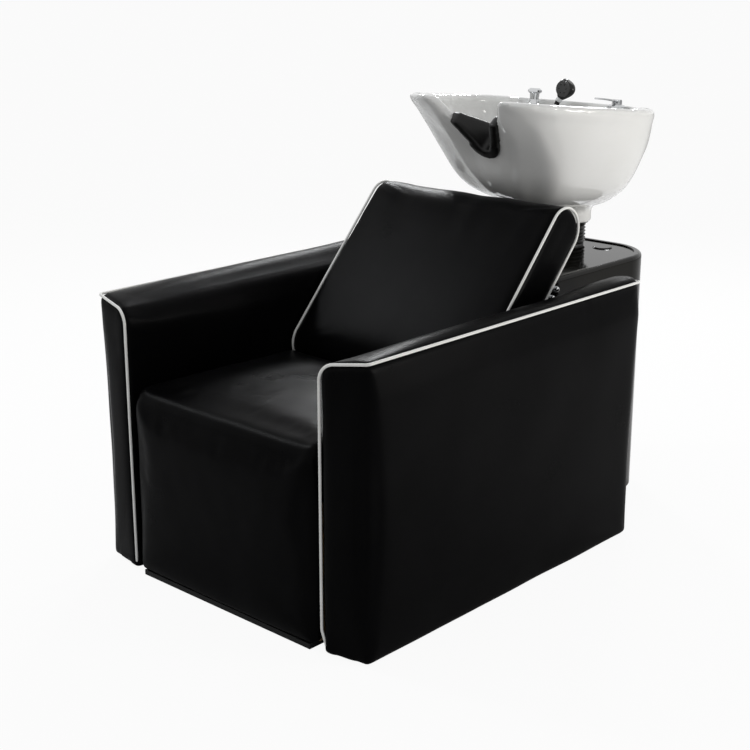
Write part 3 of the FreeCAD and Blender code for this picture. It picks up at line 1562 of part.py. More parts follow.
def make_lever(pin_z, fork_half):
    """Lever with a boss on the pin and a tapered handle that sweeps forward over the basin."""
    boss_radius = lever_pin_radius * 2
    boss = rod(Vector(-fork_half, 0, pin_z), Vector(fork_half, 0, pin_z), boss_radius)
    boss = boss.cut(rod(Vector(-lever_reach, 0, pin_z), Vector(lever_reach, 0, pin_z), lever_pin_radius + pin_clearance))
    sections = []
    start_y = -boss_radius * lever_root_share
    for share, taper_share, rise_share in zip(lever_along_shares, lever_taper_shares, lever_rise_shares):
        y = start_y - (lever_reach + start_y) * share
        width = lever_root_width + (lever_tip_width - lever_root_width) * taper_share
        if share == 0:
            width = lever_fork_width
        z = pin_z + lever_rise * rise_share
        half = width / 2
        thick = lever_thickness / 2
        corner = min(half, thick) * lever_corner_share
        points = [Vector(side * half, y, z + rise * thick) for side, rise in ((-1, -1), (1, -1), (1, 1), (-1, 1))]
        sections.append(rounded_wire(points, [corner] * 4))
    return boss.fuse(Part.makeLoft(sections, True)).removeSplitter()


def make_breaker():
    ground = Vector(0, 0, 0)
    top = breaker_foot_height + breaker_body_height
    profile = (
        (0, 0),
        (breaker_foot_radius, 0),
        (breaker_foot_radius, breaker_foot_height * breaker_foot_share),
        (breaker_body_radius, breaker_foot_height),
        (
            breaker_body_radius * breaker_waist_radius_share,
            breaker_foot_height + breaker_body_height * breaker_waist_height_share,
        ),
        (breaker_body_radius, top),
        (0, top),
    )
    body = turned(profile, ground)
    shank = rod(Vector(0, 0, -deck_thickness - breaker_shank_length), ground, breaker_shank_radius)
    cap_profile = [(0, top)]
    for radius_share, height_share in zip(breaker_cap_radius_shares, breaker_cap_height_shares):
        cap_profile.append((breaker_cap_radius * radius_share, top + breaker_cap_height * height_share))
    cap_profile.append((0, top + breaker_cap_height))
    cap = turned(cap_profile, ground)
    return {
        "vacuum_breaker": deck_frame(body.fuse(shank).removeSplitter(), breaker_x, breaker_y),
        "vacuum_breaker_cap": deck_frame(cap, breaker_x, breaker_y),
    }


def make_spray():
    """Spray head drawn upright, then leaned over in its guide."""
    ground = Vector(0, 0, 0)
    upright = Vector(0, 0, 1)
    guide_profile = (
        (guide_bore, -deck_thickness - guide_shank_length),
        (guide_shank_radius, -deck_thickness - guide_shank_length),
        (guide_shank_radius, 0),
        (guide_radius, 0),
        (guide_radius, guide_height / 2),
        (guide_shank_radius, guide_height),
        (guide_bore, guide_height),
    )
    guide = turned(guide_profile, ground)
    hose_low = -deck_thickness - guide_shank_length - hose_end_low
    lean_x = math.sin(spray_lean)
    lean_z = math.cos(spray_lean)
    direction = Vector(lean_x, 0, lean_z)
    knee = upright * (guide_height + hose_knee_height)
    tip = knee + direction * hose_end_high
    route = rounded_wire([upright * hose_low, knee, tip], [0, hose_knee_bend, 0], closed=False)
    hose_end = cord(route, hose_radius)
    collar = rod(tip, tip + direction * collar_length, collar_radius)
    neck = tip + direction * collar_length

    def oval(along, width, thickness):
        """One section of the spray head, square to its axis."""
        centre = neck + direction * along
        side = Vector(lean_z, 0, -lean_x)
        deep = Vector(0, 1, 0)
        points = []
        for step in range(spray_section_points):
            angle = step * 2 * math.pi / spray_section_points
            points.append(centre + side * (width / 2 * math.cos(angle)) + deep * (thickness / 2 * math.sin(angle)))
        curve = Part.BSplineCurve()
        curve.interpolate(Points=points, PeriodicFlag=True)
        return Part.Wire(curve.toShape())

    sections = []
    for along_share, width_share, depth_share in zip(spray_along_shares, spray_width_shares, spray_depth_shares):
        sections.append(oval(spray_length * along_share, spray_width * width_share, spray_thickness * depth_share))
    shell = Part.makeLoft(sections, True)
    face_centre = neck + direction * (spray_length * spray_face_share)
    face_front = -spray_thickness / 2 * spray_recess_share
    recess = rod(
        face_centre + Vector(0, face_front, 0),
        face_centre + Vector(0, -spray_thickness, 0),
        spray_face_radius,
    )
    shell = shell.cut(recess)
    face = rod(
        face_centre + Vector(0, face_front, 0),
        face_centre + Vector(0, face_front - spray_face_thickness, 0),
        spray_face_radius - soft_gap,
    )
    for turn in range(spray_hole_count):
        angle = turn * 2 * math.pi / spray_hole_count
        radius = spray_face_radius * spray_hole_share
        hole = face_centre + Vector(radius * math.cos(angle), 0, radius * math.sin(angle))
        face = face.cut(rod(hole, hole + Vector(0, -spray_thickness, 0), spray_face_thickness / 2))
    pieces = {
        "hose_guide": guide,
        "spray_hose_end": hose_end,
        "spray_collar": collar,
        "spray_head": shell,
        "spray_face": face,
    }
    return {name: deck_frame(shape, spray_x, deck_tap_y) for name, shape in pieces.items()}


def make_deck_nuts():
    """Nuts that hold each tap's shank under the deck."""
    nuts = []
    low = -deck_thickness - deck_nut_height
    for radius, shank, x, y in (
        (mixer_nut_radius, mixer_shank_radius, mixer_x, deck_tap_y),
        (breaker_nut_radius, breaker_shank_radius, breaker_x, breaker_y),
        (guide_nut_radius, guide_shank_radius, spray_x, deck_tap_y),
    ):
        nut = hexagon(Vector(0, 0, low), radius, deck_nut_height)
        nut = nut.cut(rod(Vector(0, 0, low - cut_overrun), Vector(0, 0, 0), shank))
        nuts.append(deck_frame(nut, x, y))
    return {"deck_nuts": Part.makeCompound(nuts)}


def make_under_deck_hoses():
    """The spray hose's loop from the vacuum breaker's shank back up to its guide."""
    shank_low = -deck_thickness - breaker_shank_length
    guide_low = -deck_thickness - guide_shank_length - hose_end_low
    x_breaker = breaker_x - spray_x
    y_breaker = breaker_y - deck_tap_y
    points = [
        Vector(x_breaker, y_breaker, shank_low),
        Vector(x_breaker, y_breaker, guide_low - hose_loop_drop),
        Vector(0, 0, guide_low - hose_loop_drop),
        Vector(0, 0, guide_low),
    ]
    loop = cord(rounded_wire(points, [0, hose_loop_bend, hose_loop_bend, 0], closed=False), hose_radius)
    return {"spray_hose": deck_frame(loop, spray_x, deck_tap_y)}


# Neck rest


wall_inward = Vector(0, math.cos(rest_lean), math.sin(rest_lean))


def wall_place(x, along, inward):
    """A place counted from the notch's bottom: up along the bowl's front wall, and inward square to it."""
    start = Vector(x, front_wall_y(notch_bottom_z), notch_bottom_z)
    return start + Vector(0, -math.sin(rest_lean), math.cos(rest_lean)) * along + wall_inward * inward


def front_wall_y(z):
    """Where the middle of the bowl's front wall stands at a height."""
    places = []
    for height, front, dish in zip(bowl_heights, bowl_fronts, bowl_dishes):
        places.append((foot_bottom_z + height + front * math.tan(slope_at(height)), foot_y - front + dish))
    for (low_z, low_y), (high_z, high_y) in zip(places, places[1:]):
        if low_z <= z <= high_z:
            return low_y + (high_y - low_y) * (z - low_z) / (high_z - low_z)
    return places[-1][1]


def notch_band(grow, draw, inward_low, inward_high, height):
    """A U-shaped band that follows the notch on the slant: from its edge plus grow in to its edge less draw."""
    half_angle = math.atan(math.tan(notch_side_angle) * math.cos(rest_lean))
    vertex = notch_bottom_radius * (1 - 1 / math.sin(notch_side_angle)) / math.cos(rest_lean)
    radius = -vertex * math.sin(half_angle) / (1 - math.sin(half_angle))
    travel = wall_inward * (inward_high - inward_low)

    def outline(reach, top, inward):
        low = vertex - reach / math.sin(half_angle)
        half = (top - low) * math.tan(half_angle)
        points = [wall_place(-half, top, inward), wall_place(0, low, inward), wall_place(half, top, inward)]
        return rounded_wire(points, [0, radius + reach, 0])

    band = prism(outline(grow, height, inward_low), travel)
    return band.cut(prism(outline(-draw, height + cut_overrun, inward_low - cut_overrun), travel * 2))


def rest_top_tool():
    """Everything above the slope that the top of the rest falls along towards the rear."""
    start = wall_place(0, rest_height, rest_end_depth)
    reach = Vector(0, math.cos(rest_top_slope), -math.sin(rest_top_slope)) * (2 * rest_depth)
    half = bowl_rim_half
    rise = Vector(0, 0, 2 * rest_depth)
    corners = [start, start + reach, start + reach + rise, start + rise]
    points = [corner - Vector(half, 0, 0) for corner in corners]
    return prism(Part.makePolygon(points + [points[0]]), Vector(2 * half, 0, 0))


def make_neck_rest(bowl):
    """Rubber saddle that lies in the notch, laps over the wall's inner edge and hangs over it in front."""
    rest = notch_band(rest_edge_lap, rest_thickness, -rest_proud, rest_depth, rest_height)
    rest = rest.fuse(notch_band(rest_rear_lap, rest_thickness, rest_rear_start, rest_depth, rest_height))
    rest = rest.fuse(notch_band(rest_lip, rest_thickness, -rest_proud - rest_edge_lap, rest_rear_start, rest_lip_height))
    rest = rest.cut(rest_top_tool()).cut(bowl)
    rest = max(rest.Solids, key=solid_volume)
    face = wall_place(0, stud_rise, -rest_proud - rest_edge_lap)
    stud = rod(face - wall_inward * stud_height, face + wall_inward * (stud_depth - stud_height), stud_radius)
    return {"neck_rest": rest.cut(stud), "neck_rest_stud": stud}


def solid_volume(solid):
    return solid.Volume


def save(node, shape):
    placed = shape.copy()
    placed.translate(Vector(0, -origin_y, 0))
    placed.exportStep(os.path.join("parts", node + ".step"))


def main():
    os.makedirs("parts", exist_ok=True)
    pieces = {}
    pieces.update(make_arms())
    pieces.update(make_rails())
    pieces.update(make_seat())
    pieces.update(make_backrest())
    pieces.update(make_pedestal())
    pieces.update(make_base_frame())
    pieces.update(make_tilt())
    bowl = make_bowl()
    pieces["bowl"] = bowl
    pieces["access_cover"] = make_access_cover()
    pieces.update(make_bowl_fittings())
    pieces.update(make_mixer())
    pieces.update(make_breaker())
    pieces.update(make_spray())
    pieces.update(make_deck_nuts())
    pieces.update(make_under_deck_hoses())
    pieces.update(make_neck_rest(bowl))
    for node, shape in pieces.items():
        save(node, shape)


main()
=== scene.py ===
import json
import math

import bmesh
import bpy
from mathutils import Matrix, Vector, noise
from mathutils.bvhtree import BVHTree
from mathutils.kdtree import KDTree


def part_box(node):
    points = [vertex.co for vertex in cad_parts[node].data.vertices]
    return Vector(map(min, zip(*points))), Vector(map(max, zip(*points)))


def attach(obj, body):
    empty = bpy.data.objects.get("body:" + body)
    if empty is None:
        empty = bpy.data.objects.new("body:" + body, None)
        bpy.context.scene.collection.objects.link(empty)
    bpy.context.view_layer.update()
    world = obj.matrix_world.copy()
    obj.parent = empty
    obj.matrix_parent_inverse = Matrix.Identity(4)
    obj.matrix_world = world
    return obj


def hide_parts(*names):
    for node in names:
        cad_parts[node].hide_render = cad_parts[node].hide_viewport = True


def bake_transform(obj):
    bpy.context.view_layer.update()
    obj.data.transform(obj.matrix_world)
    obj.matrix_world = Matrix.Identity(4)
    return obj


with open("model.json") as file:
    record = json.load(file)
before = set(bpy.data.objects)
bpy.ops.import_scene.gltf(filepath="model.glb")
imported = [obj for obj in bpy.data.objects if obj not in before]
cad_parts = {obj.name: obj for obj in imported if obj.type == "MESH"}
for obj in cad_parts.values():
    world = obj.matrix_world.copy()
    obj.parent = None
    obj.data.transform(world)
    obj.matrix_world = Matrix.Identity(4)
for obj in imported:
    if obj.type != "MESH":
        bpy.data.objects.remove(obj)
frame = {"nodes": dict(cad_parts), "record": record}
nodes = frame["nodes"]
scene = bpy.context.scene
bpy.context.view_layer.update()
millimetre = 0.001
print("frame loaded:", len(nodes), "nodes")


# Camera, light and floor

camera = {
    "place": (1.9293, -2.2397, 1.2453),
    "turn": 42.75,  # degrees to the left of straight ahead
    "pitch": 16.93,  # degrees down
    "lens": 68.4,
    "sensor": 36.0,
}

studio = {
    "worldGrey": 0.44,  # what lights the object from all round
    "shownWhite": 1.0,  # what the camera and the gloss see
    "floorGrey": 0.9,
    "floorGlow": 0.93,
    "lampTarget": (0, 0, 0.5),
    "floorHalf": 30.0,
    "floorDrop": 0.0005,  # keeps the floor clear of the undersides
}

lamps = {
    "farBackLamp": {"place": (-1.75, 1.75, 1.95), "power": 21.0, "size": 0.45, "tint": (0.97, 0.985, 1.0)},
    "nearBackLamp": {"place": (-0.9, 2.4, 1.95), "power": 18.0, "size": 0.45, "tint": (0.97, 0.985, 1.0)},
    "frontLamp": {"place": (-1.9, -1.05, 2.4), "power": 17.0, "size": 0.45, "tint": (0.95, 0.975, 1.0)},
    "rightLamp": {"place": (2.6, 0.9, 0.85), "power": 26.0, "size": 0.9, "tint": (1.0, 0.975, 0.935)},
}


def lookAt(place, target):
    return (Vector(target) - Vector(place)).to_track_quat("-Z", "Y").to_euler()


def makeCamera():
    data = bpy.data.cameras.new("photoCamera")
    data.lens = camera["lens"]
    data.sensor_width = camera["sensor"]
    obj = bpy.data.objects.new("photoCamera", data)
    obj.location = camera["place"]
    obj.rotation_euler = (math.radians(90 - camera["pitch"]), 0, math.radians(camera["turn"]))
    scene.collection.objects.link(obj)
    scene.camera = obj


def makeLamp(name, place, power, size, tint):
    data = bpy.data.lights.new(name, "AREA")
    data.shape = "DISK"
    data.color = tint
    data.energy = power
    data.size = size
    obj = bpy.data.objects.new(name, data)
    obj.location = place
    obj.rotation_euler = lookAt(place, studio["lampTarget"])
    scene.collection.objects.link(obj)


def makeWorld():
    world = bpy.data.worlds.new("studioWorld")
    world.use_nodes = True
    tree = world.node_tree
    tree.nodes.clear()
    path = tree.nodes.new("ShaderNodeLightPath")
    shown = tree.nodes.new("ShaderNodeMath")
    shown.operation = "MAXIMUM"
    tree.links.new(path.outputs["Is Camera Ray"], shown.inputs[0])
    tree.links.new(path.outputs["Is Glossy Ray"], shown.inputs[1])
    mix = tree.nodes.new("ShaderNodeMixShader")
    out = tree.nodes.new("ShaderNodeOutputWorld")
    tree.links.new(shown.outputs[0], mix.inputs[0])
    for index, label in ((1, "worldGrey"), (2, "shownWhite")):
        background = tree.nodes.new("ShaderNodeBackground")
        background.inputs["Color"].default_value = (1, 1, 1, 1)
        background.inputs["Strength"].default_value = studio[label]
        tree.links.new(background.outputs[0], mix.inputs[index])
    tree.links.new(mix.outputs[0], out.inputs[0])
    scene.world = world


def makeFloor():
    half = studio["floorHalf"]
    corners = [(-half, -half, 0), (half, -half, 0), (half, half, 0), (-half, half, 0)]
    mesh = bpy.data.meshes.new("studioFloor")
    mesh.from_pydata(corners, [], [(0, 1, 2, 3)])
    floor = bpy.data.objects.new("studioFloor", mesh)
    floor.location.z = -studio["floorDrop"]
    scene.collection.objects.link(floor)
    material = bpy.data.materials.new("studioFloor")
    material.use_nodes = True
    tree = material.node_tree
    tree.nodes.clear()
    path = tree.nodes.new("ShaderNodeLightPath")
    paint = tree.nodes.new("ShaderNodeBsdfDiffuse")
    grey = studio["floorGrey"]
    paint.inputs["Color"].default_value = (grey, grey, grey, 1)
    glow = tree.nodes.new("ShaderNodeEmission")
    glow.inputs["Color"].default_value = (1, 1, 1, 1)
    share = tree.nodes.new("ShaderNodeMath")
    share.operation = "MULTIPLY"
    share.inputs[1].default_value = studio["floorGlow"]
    mix = tree.nodes.new("ShaderNodeMixShader")
    out = tree.nodes.new("ShaderNodeOutputMaterial")
    tree.links.new(path.outputs["Is Camera Ray"], share.inputs[0])
    tree.links.new(share.outputs[0], mix.inputs[0])
    tree.links.new(paint.outputs[0], mix.inputs[1])
    tree.links.new(glow.outputs[0], mix.inputs[2])
    tree.links.new(mix.outputs[0], out.inputs[0])
    mesh.materials.append(material)


scene.view_settings.view_transform = "Standard"
makeCamera()
makeWorld()
makeFloor()
for lampName, lamp in lamps.items():
    makeLamp(lampName, **lamp)
print("camera, lights and floor made")


# Shader groups, each used by several materials


def newGroup(name, inputs, outputs):
    group = bpy.data.node_groups.new(name, "ShaderNodeTree")
    for label, value in inputs:
        socket = group.interface.new_socket(label, in_out="INPUT", socket_type="NodeSocketFloat")
        socket.default_value = value
    for label, kind in outputs:
        group.interface.new_socket(label, in_out="OUTPUT", socket_type=kind)
    source = group.nodes.new("NodeGroupInput")
    sink = group.nodes.new("NodeGroupOutput")
    return group, source, sink


def mathNode(tree, operation, a, b):
    node = tree.nodes.new("ShaderNodeMath")
    node.operation = operation
    for socket, value in zip(node.inputs, (a, b)):
        if isinstance(value, (int, float)):
            socket.default_value = value
        else:
            tree.links.new(value, socket)
    return node.outputs[0]


def noiseNode(tree, coordinates, scale, detail, roughness=0.5):
    node = tree.nodes.new("ShaderNodeTexNoise")
    node.inputs["Detail"].default_value = detail
    node.inputs["Roughness"].default_value = roughness
    if isinstance(scale, (int, float)):
        node.inputs["Scale"].default_value = scale
    else:
        tree.links.new(scale, node.inputs["Scale"])
    tree.links.new(coordinates, node.inputs["Vector"])
    return node.outputs["Fac"]


def spread(tree, value, low, high):
    node = tree.nodes.new("ShaderNodeMapRange")
    tree.links.new(value, node.inputs["Value"])
    node.inputs["From Min"].default_value = low
    node.inputs["From Max"].default_value = high
    return node.outputs["Result"]


grainShape = {
    "creaseEdge": 0.22,
    "fineScale": 0.45,  # of the pebbles' own scale
    "fineDetail": 4.0,
    "fineShare": 0.5,
    "shadeDetail": 3.0,
    "shadeRange": (0.3, 0.7),
}


def makeGrainGroup():
    # pebbles with creases between them, and slow shade changes
    s = grainShape
    group, source, sink = newGroup(
        "hideGrain",
        (("Pebble Scale", 900.0), ("Crease Depth", 0.6), ("Shade Scale", 7.0)),
        (("Height", "NodeSocketFloat"), ("Shade", "NodeSocketFloat"), ("Roughness", "NodeSocketFloat")),
    )
    place = group.nodes.new("ShaderNodeTexCoord").outputs["Object"]
    cells = group.nodes.new("ShaderNodeTexVoronoi")
    cells.feature = "DISTANCE_TO_EDGE"
    group.links.new(place, cells.inputs["Vector"])
    group.links.new(source.outputs["Pebble Scale"], cells.inputs["Scale"])
    crease = spread(group, cells.outputs["Distance"], 0.0, s["creaseEdge"])
    fineScale = mathNode(group, "MULTIPLY", source.outputs["Pebble Scale"], s["fineScale"])
    fine = noiseNode(group, place, fineScale, s["fineDetail"])
    depth = mathNode(group, "MULTIPLY", crease, source.outputs["Crease Depth"])
    height = mathNode(group, "ADD", depth, mathNode(group, "MULTIPLY", fine, s["fineShare"]))
    shade = noiseNode(group, place, source.outputs["Shade Scale"], s["shadeDetail"])
    slow = spread(group, shade, *s["shadeRange"])
    group.links.new(height, sink.inputs["Height"])
    group.links.new(slow, sink.inputs["Shade"])
    group.links.new(mathNode(group, "MULTIPLY", slow, fine), sink.inputs["Roughness"])
    return group


handlingShape = {
    "smudgeDetail": 5.0,
    "smudgeRoughness": 0.6,
    "smudgeRange": (0.42, 0.75),
    "scratchStretch": (1.0, 0.06, 1.0),
    "scratchTurn": (0.4, 0.3, 0.7),
    "scratchDetail": 2.0,
    "scratchRange": (0.62, 0.7),
    "scratchShare": 0.25,
}


def makeHandlingGroup():
    # smudges and fine scratches that dull a polished surface here and there
    s = handlingShape
    group, source, sink = newGroup(
        "handlingMarks",
        (("Smudge Scale", 9.0), ("Scratch Scale", 260.0), ("Strength", 1.0)),
        (("Dulling", "NodeSocketFloat"), ("Height", "NodeSocketFloat")),
    )
    place = group.nodes.new("ShaderNodeTexCoord").outputs["Object"]
    patches = noiseNode(group, place, source.outputs["Smudge Scale"], s["smudgeDetail"], s["smudgeRoughness"])
    smudge = spread(group, patches, *s["smudgeRange"])
    stretch = group.nodes.new("ShaderNodeMapping")
    stretch.inputs["Scale"].default_value = s["scratchStretch"]
    stretch.inputs["Rotation"].default_value = s["scratchTurn"]
    group.links.new(place, stretch.inputs["Vector"])
    scratch = noiseNode(group, stretch.outputs["Vector"], source.outputs["Scratch Scale"], s["scratchDetail"])
    fine = spread(group, scratch, *s["scratchRange"])
    both = mathNode(group, "ADD", smudge, mathNode(group, "MULTIPLY", fine, s["scratchShare"]))
    group.links.new(mathNode(group, "MULTIPLY", both, source.outputs["Strength"]), sink.inputs["Dulling"])
    group.links.new(scratch, sink.inputs["Height"])
    return group


threadShape = {"distortion": 1.2, "slubDetail": 3.0, "weaveShare": 0.4}


def makeFibreGroup():
    group, source, sink = newGroup(
        "wovenThreads",
        (("Thread Scale", 700.0), ("Slub Scale", 60.0)),
        (("Height", "NodeSocketFloat"), ("Shade", "NodeSocketFloat")),
    )
    place = group.nodes.new("ShaderNodeTexCoord").outputs["Object"]
    bands = []
    for direction in ("X", "Y"):
        wave = group.nodes.new("ShaderNodeTexWave")
        wave.bands_direction = direction
        wave.inputs["Distortion"].default_value = threadShape["distortion"]
        group.links.new(place, wave.inputs["Vector"])
        group.links.new(source.outputs["Thread Scale"], wave.inputs["Scale"])
        bands.append(wave.outputs["Fac"])
    weave = mathNode(group, "MULTIPLY", bands[0], bands[1])
    slub = noiseNode(group, place, source.outputs["Slub Scale"], threadShape["slubDetail"])
    group.links.new(weave, sink.inputs["Height"])
    shade = mathNode(group, "ADD", mathNode(group, "MULTIPLY", weave, threadShape["weaveShare"]), slub)
    group.links.new(shade, sink.inputs["Shade"])
    return group


grainGroup = makeGrainGroup()
handlingGroup = makeHandlingGroup()
fibreGroup = makeFibreGroup()
print("shader groups made")


# Materials


def newMaterial(name, **values):
    # plain values go on the shader's own sockets
    material = bpy.data.materials.new(name)
    material.use_nodes = True
    shader = material.node_tree.nodes["Principled BSDF"]
    for label, value in values.items():
        socket = shader.inputs[label.replace("_", " ")]
        socket.default_value = (*value, 1.0) if isinstance(value, tuple) else value
    return material, material.node_tree, shader


def placeGroup(tree, group, **values):
    node = tree.nodes.new("ShaderNodeGroup")
    node.node_tree = group
    for label, value in values.items():
        node.inputs[label.replace("_", " ")].default_value = value
    return node


def mixColours(tree, share, dark, light, socket):
    mix = tree.nodes.new("ShaderNodeMix")
    mix.data_type = "RGBA"
    mix.inputs["A"].default_value = (*dark, 1)
    mix.inputs["B"].default_value = (*light, 1)
    tree.links.new(share, mix.inputs["Factor"])
    tree.links.new(mix.outputs["Result"], socket)


def bumpFrom(tree, height, strength, distance, shader):
    bump = tree.nodes.new("ShaderNodeBump")
    bump.inputs["Strength"].default_value = strength
    bump.inputs["Distance"].default_value = distance
    tree.links.new(height, bump.inputs["Height"])
    tree.links.new(bump.outputs["Normal"], shader.inputs["Normal"])


def rangeTo(tree, value, low, high, socket):
    node = tree.nodes.new("ShaderNodeMapRange")
    tree.links.new(value, node.inputs["Value"])
    node.inputs["To Min"].default_value = low
    node.inputs["To Max"].default_value = high
    tree.links.new(node.outputs["Result"], socket)


blackVinyl = {
    "dark": (0.0013, 0.0013, 0.0015),
    "light": (0.0026, 0.0026, 0.0029),
    "roughness": (0.27, 0.38),
    "shine": 0.026,
    "grain": {"Pebble_Scale": 620.0, "Crease_Depth": 0.7, "Shade_Scale": 6.0},
    "bump": (0.16, 0.0006),  # strength and distance
}

whitePiping = {
    "dark": (0.83, 0.83, 0.81),
    "light": (0.91, 0.91, 0.89),
    "roughness": (0.38, 0.52),
    "shine": 0.35,
    "grain": {"Pebble_Scale": 1300.0, "Crease_Depth": 0.5, "Shade_Scale": 22.0},
    "bump": (0.2, 0.0004),
}


def makeGrained(name, s):
    material, tree, shader = newMaterial(name, Specular_IOR_Level=s["shine"])
    grain = placeGroup(tree, grainGroup, **s["grain"])
    mixColours(tree, grain.outputs["Shade"], s["dark"], s["light"], shader.inputs["Base Color"])
    rangeTo(tree, grain.outputs["Roughness"], *s["roughness"], shader.inputs["Roughness"])
    bumpFrom(tree, grain.outputs["Height"], *s["bump"], shader)
    return material


hardFinish = {
    "polishedDistance": 0.0003,
    "roughDistance": 0.0005,
    "roughGrain": {"Crease_Depth": 0.4, "Shade_Scale": 14.0},
}


def makePolished(name, dark, light, roughness, marks, bump=0.04, **values):
    # smooth hard finishes, dulled a little by handling
    material, tree, shader = newMaterial(name, **values)
    wear = placeGroup(tree, handlingGroup, **marks)
    mixColours(tree, wear.outputs["Dulling"], dark, light, shader.inputs["Base Color"])
    rangeTo(tree, wear.outputs["Dulling"], *roughness, shader.inputs["Roughness"])
    bumpFrom(tree, wear.outputs["Height"], bump, hardFinish["polishedDistance"], shader)
    return material


def makeRough(name, dark, light, roughness, scale, bump, **values):
    # dull finishes with a close grain
    material, tree, shader = newMaterial(name, **values)
    grain = placeGroup(tree, grainGroup, Pebble_Scale=scale, **hardFinish["roughGrain"])
    mixColours(tree, grain.outputs["Shade"], dark, light, shader.inputs["Base Color"])
    rangeTo(tree, grain.outputs["Roughness"], *roughness, shader.inputs["Roughness"])
    bumpFrom(tree, grain.outputs["Height"], bump, hardFinish["roughDistance"], shader)
    return material


sawnTimber = {
    "dark": (0.40, 0.26, 0.13),
    "light": (0.60, 0.44, 0.26),
    "roughness": (0.6, 0.8),
    "shine": 0.3,
    "stretch": (6.0, 1.2, 6.0),
    "rings": {"Scale": 3.0, "Distortion": 6.0, "Detail": 3.0},
    "bump": (0.2, 0.0006),
}


def makeTimberMaterial():
    s = sawnTimber
    material, tree, shader = newMaterial("sawnTimber", Specular_IOR_Level=s["shine"])
    place = tree.nodes.new("ShaderNodeTexCoord").outputs["Object"]
    stretch = tree.nodes.new("ShaderNodeMapping")
    stretch.inputs["Scale"].default_value = s["stretch"]
    tree.links.new(place, stretch.inputs["Vector"])
    rings = tree.nodes.new("ShaderNodeTexWave")
    for label, value in s["rings"].items():
        rings.inputs[label].default_value = value
    tree.links.new(stretch.outputs["Vector"], rings.inputs["Vector"])
    mixColours(tree, rings.outputs["Fac"], s["dark"], s["light"], shader.inputs["Base Color"])
    rangeTo(tree, rings.outputs["Fac"], *s["roughness"], shader.inputs["Roughness"])
    bumpFrom(tree, rings.outputs["Fac"], *s["bump"], shader)
    return material


elasticWebbing = {
    "dark": (0.015, 0.015, 0.016),
    "light": (0.09, 0.09, 0.09),
    "roughness": (0.7, 0.9),
    "shine": 0.2,
    "threads": {"Thread_Scale": 260.0, "Slub_Scale": 40.0},
    "bump": (0.6, 0.0008),
}


def makeWebbingMaterial():
    s = elasticWebbing
    material, tree, shader = newMaterial("elasticWebbing", Specular_IOR_Level=s["shine"])
    threads = placeGroup(tree, fibreGroup, **s["threads"])
    mixColours(tree, threads.outputs["Shade"], s["dark"], s["light"], shader.inputs["Base Color"])
    rangeTo(tree, threads.outputs["Shade"], *s["roughness"], shader.inputs["Roughness"])
    bumpFrom(tree, threads.outputs["Height"], *s["bump"], shader)
    return material


softMarks = {"Smudge_Scale": 7.0, "Scratch_Scale": 120.0, "Strength": 0.7}
fineMarks = {"Smudge_Scale": 34.0, "Scratch_Scale": 700.0, "Strength": 0.9}

materials = {
    "vinyl": makeGrained("blackVinyl", blackVinyl),
    "piping": makeGrained("whitePiping", whitePiping),
    "timber": makeTimberMaterial(),
    "webbing": makeWebbingMaterial(),
    "painted_board": makeRough(
        "paintedBoard", (0.006, 0.006, 0.006), (0.011, 0.011, 0.011), (0.45, 0.65), 500.0, 0.25,
        Specular_IOR_Level=0.2,
    ),
    "housing": makePolished(
        "glossBlackHousing", (0.0058, 0.0054, 0.0042), (0.0095, 0.0088, 0.007), (0.06, 0.18), softMarks,
        Specular_IOR_Level=0.11, Coat_Weight=0.05, Coat_Roughness=0.05,
    ),
    "nylon": makeRough("blackNylon", (0.012, 0.012, 0.012), (0.03, 0.03, 0.03), (0.5, 0.7), 900.0, 0.2),
    "steel": makeRough(
        "powderCoatedSteel", (0.028, 0.028, 0.03), (0.05, 0.05, 0.052), (0.4, 0.6), 1100.0, 0.25,
    ),
    "chrome": makePolished(
        "chromePlate", (0.60, 0.61, 0.62), (0.46, 0.465, 0.47), (0.05, 0.16), fineMarks, Metallic=1.0,
    ),
    "rubber": makeRough(
        "blackRubber", (0.004, 0.004, 0.004), (0.009, 0.009, 0.0085), (0.34, 0.52), 1500.0, 0.1,
        Specular_IOR_Level=0.25,
    ),
    "ceramic": makePolished(
        "whiteGlaze", (0.85, 0.852, 0.84), (0.82, 0.82, 0.80), (0.05, 0.12), softMarks, bump=0.02,
        Coat_Weight=0.25, Coat_Roughness=0.04,
    ),
    "white_plastic": makePolished(
        "whitePlastic", (0.76, 0.76, 0.74), (0.70, 0.70, 0.68), (0.2, 0.36), fineMarks,
    ),
    "grey_plastic": makeRough(
        "greyHose", (0.16, 0.16, 0.165), (0.24, 0.24, 0.245), (0.45, 0.6), 700.0, 0.2,
    ),
    "brass": makePolished(
        "dullBrass", (0.62, 0.43, 0.17), (0.42, 0.30, 0.13), (0.2, 0.4), fineMarks, Metallic=1.0,
    ),
    "friction_fibre": makeRough(
        "frictionFibre", (0.10, 0.06, 0.035), (0.16, 0.10, 0.06), (0.7, 0.85), 1200.0, 0.4,
    ),
    "black_plastic": makePolished(
        "blackSprayShell", (0.006, 0.006, 0.006), (0.011, 0.011, 0.011), (0.16, 0.32), fineMarks,
        Specular_IOR_Level=0.25, Coat_Weight=0.1, Coat_Roughness=0.12,
    ),
    "spray_grey": makeRough(
        "spraySieve", (0.008, 0.008, 0.008), (0.018, 0.018, 0.018), (0.35, 0.5), 1300.0, 0.2,
    ),
}
print("materials made:", len(materials))


# Shared steps for pieces


slotOf = {entry["node"]: entry["material_slot"] for entry in frame["record"]["subparts"]}
easeFactor = 0.5


def bodyOf(nodeName):
    bodies = frame["record"]["behaviour"]["bodies"]
    return next(body for body, members in bodies.items() if nodeName in members)


def dress(obj, materialName, body):
    obj.data.materials.clear()
    obj.data.materials.append(materials[materialName])
    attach(obj, body)


